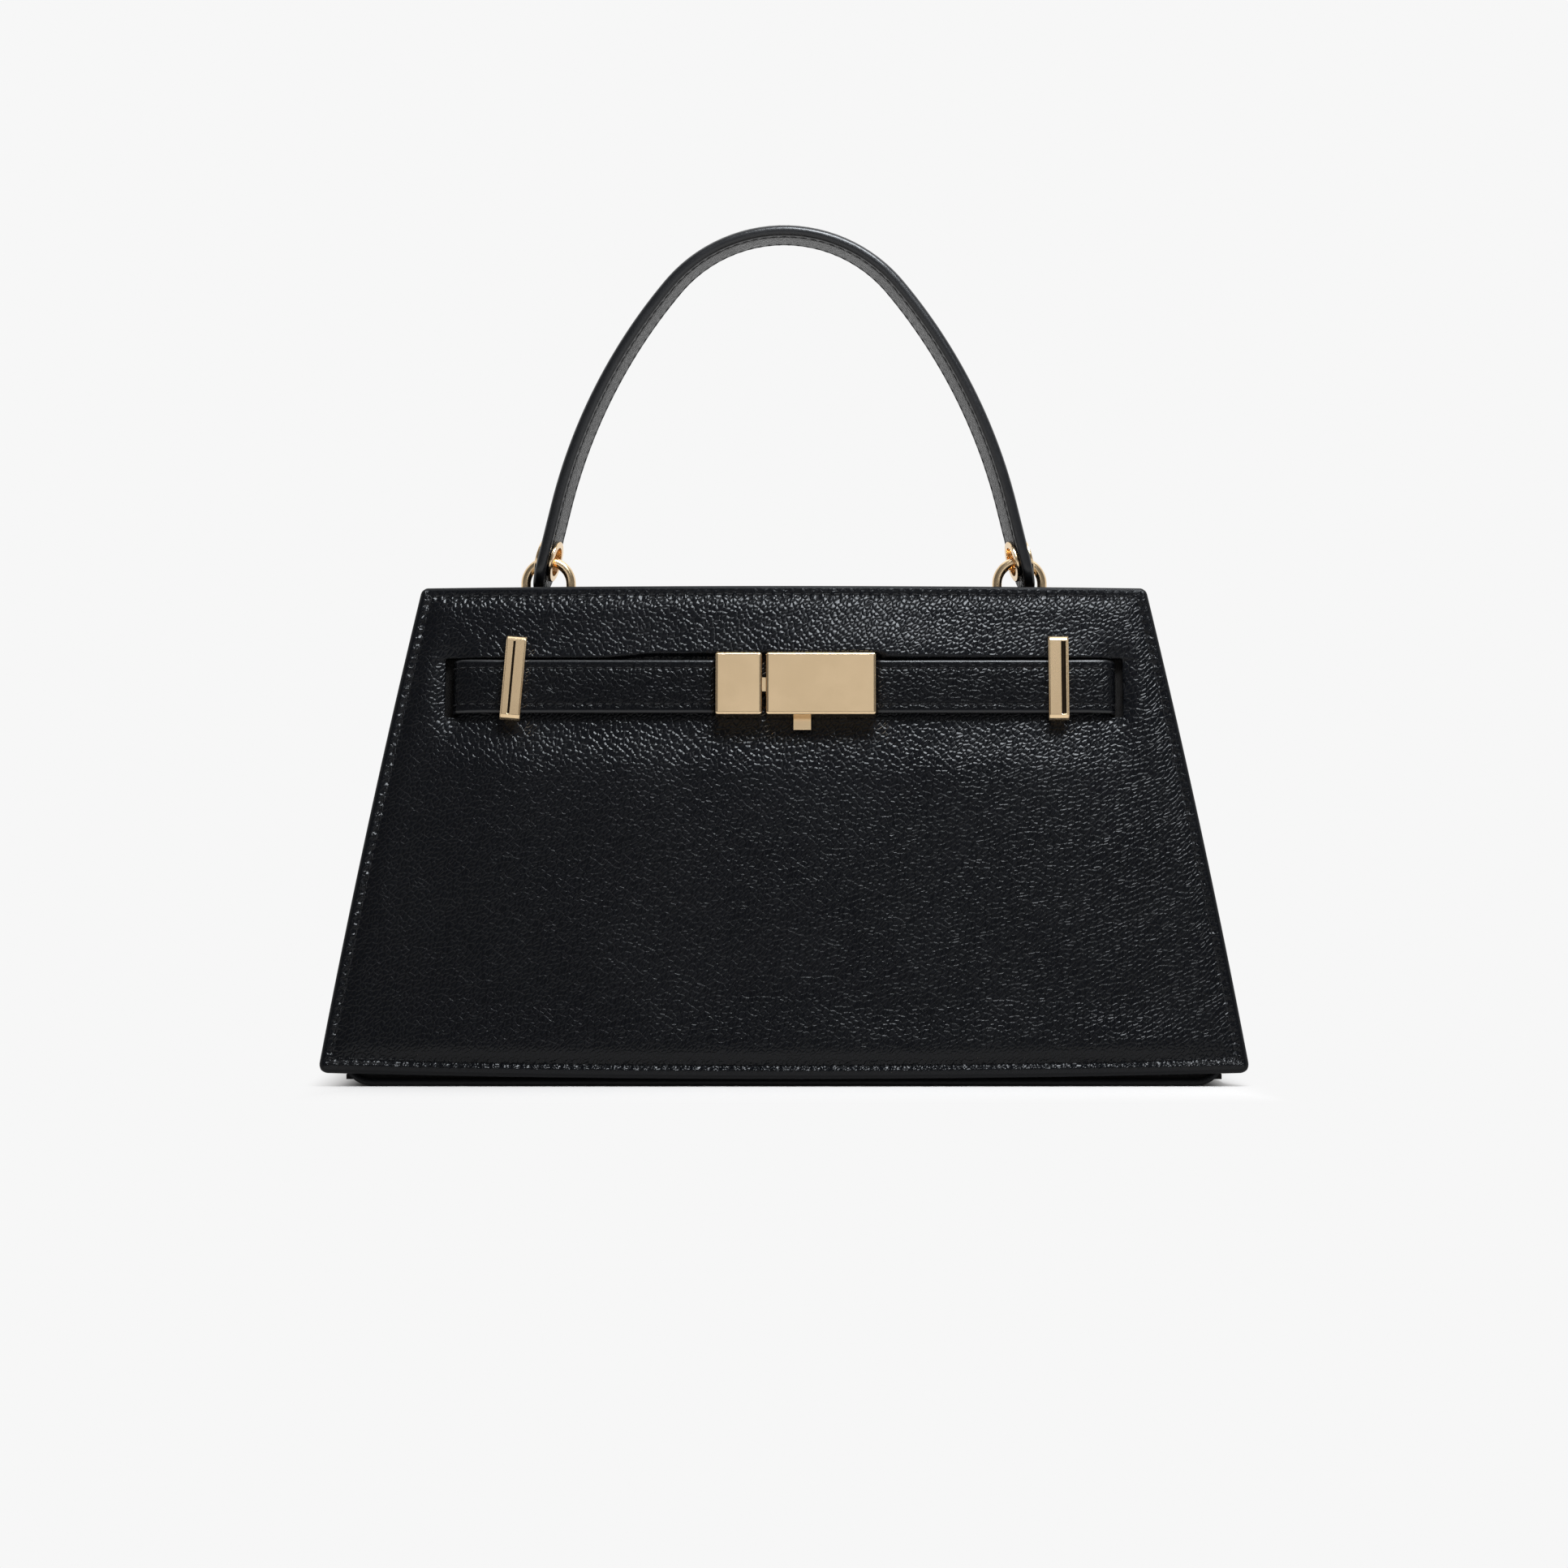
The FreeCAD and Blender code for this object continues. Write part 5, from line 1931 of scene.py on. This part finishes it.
@dataclass(frozen=True)
class Lamp:
    """Soft lamp: its place and aim in metres, the size of its face, its power in watts and its tint."""

    name: str
    place: Triple
    aim: Triple
    size: Pair
    power: float
    tint: Triple = (1.0, 1.0, 1.0)

    def hang(self) -> None:
        """Add the lamp to the scene."""
        light = bpy.data.lights.new(self.name, "AREA")
        light.shape = "RECTANGLE"
        light.size, light.size_y = self.size
        light.energy = self.power
        light.color = self.tint
        lamp = link(self.name, light)
        lamp.location = self.place
        lamp.rotation_euler = (Vector(self.aim) - Vector(self.place)).to_track_quat("-Z", "Y").to_euler()


@dataclass(frozen=True)
class Studio:
    """Camera, soft lamps, pale floor and background."""

    COOL = (0.90, 0.95, 1.0)
    LAMPS = (Lamp("card", (0.0, -1.95, 0.86), (0.0, -0.03, 0.12), (0.60, 0.40), 0.57),
             Lamp("key", (0.14, -0.305, 0.62), (0.04, -0.03, 0.13), (0.30, 0.17), 5.2, COOL),
             Lamp("side", (0.22, -0.42, 0.44), (0.06, -0.03, 0.12), (0.10, 0.08), 0.12, COOL),
             Lamp("top", (0.1, 0.25, 1.30), (0.0, 0.0, 0.08), (1.70, 1.70), 6.0))

    camera_distance: float = 1.2675
    camera_height: float = 0.0908
    lens: float = 93.4
    sensor: float = 36.0
    clip: float = 50.0
    pale: Colour = (0.93, 0.93, 0.93, 1)
    room: Colour = (0.14, 0.14, 0.14, 1)
    room_turn: Pair = (-0.25, 0.2)
    floor_colour: Colour = (0.715, 0.69, 0.67, 1)
    floor_half: float = 6000.0
    floor_drop: float = 0.05
    ambient: float = 0.35
    shadow_wide: Pair = (0.126, 0.146)
    shadow_deep: Pair = (0.046, 0.110)

    def build(self) -> None:
        """Set up everything that isn't the bag."""
        scene = bpy.context.scene
        scene.view_settings.view_transform = "Standard"
        lens = bpy.data.cameras.new("camera")
        lens.lens = self.lens
        lens.sensor_width = self.sensor
        lens.clip_end = self.clip
        camera = link("camera", lens)
        camera.location = (0.0, -self.camera_distance, self.camera_height)
        camera.rotation_euler = (math.pi / 2, 0.0, 0.0)
        scene.camera = camera
        for lamp in self.LAMPS:
            lamp.hang()
        self.world()
        self.floor()

    @staticmethod
    def seen(wires: Wiring) -> NodeSocket:
        """1 for rays that show the background: camera, glossy and transmission rays.

        Args:
            wires: Wiring of the material or world.

        Returns:
            The value.
        """
        path = wires.node("ShaderNodeLightPath").outputs
        shown = wires.math("MAXIMUM", path["Is Camera Ray"], path["Is Glossy Ray"])
        return wires.math("MAXIMUM", shown, path["Is Transmission Ray"])

    def world(self) -> None:
        """Even studio light, and a pale background for the rays that see it."""
        world = bpy.data.worlds.new("studio")
        world.use_nodes = True
        bpy.context.scene.world = world
        wires = Wiring(world.node_tree)
        way = wires.axes(wires.put("ShaderNodeTexCoord", {}, "Generated"))
        room = wires.mix(wires.remap(way["Y"], *self.room_turn), self.room, self.pale)
        lit = wires.put("ShaderNodeBackground", {"Color": (1, 1, 1, 1), "Strength": self.ambient})
        shown = wires.put("ShaderNodeBackground", {"Color": room, "Strength": 1.0})
        both = wires.put("ShaderNodeMixShader", {0: self.seen(wires), 1: lit, 2: shown})
        wires.feed(wires.node("ShaderNodeOutputWorld").inputs["Surface"], both)

    def floor(self) -> None:
        """Pale floor that keeps the bag's shadow and fades into the background."""
        draft, side = MeshDraft(), self.floor_half
        draft.face([draft.point(Vector((x, y, -self.floor_drop)))
                    for x, y in ((-side, -side), (side, -side), (side, side), (-side, side))])
        material = bpy.data.materials.new("studio_floor")
        material.use_nodes = True
        wires = Wiring(material.node_tree)
        place = wires.axes(wires.put("ShaderNodeTexCoord", {}, "Object"))
        fades = [wires.remap(wires.math("ABSOLUTE", place[axis]), *reach)
                 for axis, reach in (("X", self.shadow_wide), ("Y", self.shadow_deep))]
        share = wires.math("MULTIPLY", wires.math("MAXIMUM", *fades), self.seen(wires))
        paper = wires.put("ShaderNodeBsdfDiffuse", {"Color": self.floor_colour})
        glow = wires.put("ShaderNodeEmission", {"Color": self.pale, "Strength": 1.0})
        both = wires.put("ShaderNodeMixShader", {0: share, 1: paper, 2: glow})
        wires.feed(wires.node("ShaderNodeOutputMaterial").inputs["Surface"], both)
        draft.build("floor", [material])


def main() -> None:
    """Load the frame and build every sub-assembly in order."""
    logging.basicConfig(level=logging.INFO, format="%(name)s: %(message)s")
    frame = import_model()
    kit = Kit()
    gusset = Gusset(kit.wall)
    WallPanel("front", Body.FRONT).dress(kit)
    WallPanel("back", Body.CARCASS).dress(kit)
    for side in Side:
        gusset.dress(side, kit)
    Base(kit.wall).dress(kit)
    Divider(gusset).dress(kit)
    Belt(Side.LEFT, 20.75, Keeper(reach=82.4, tilt=4.4, groove=0.30, groove_at=-0.5)).dress(kit)
    Belt(Side.RIGHT, 27.85, Keeper(reach=83.6, tilt=0.0, groove=0.70, groove_at=1.5)).dress(kit)
    Handle().dress(kit)
    Hardware(frame, kit).dress()
    Studio().build()


if __name__ == "__main__":
    main()
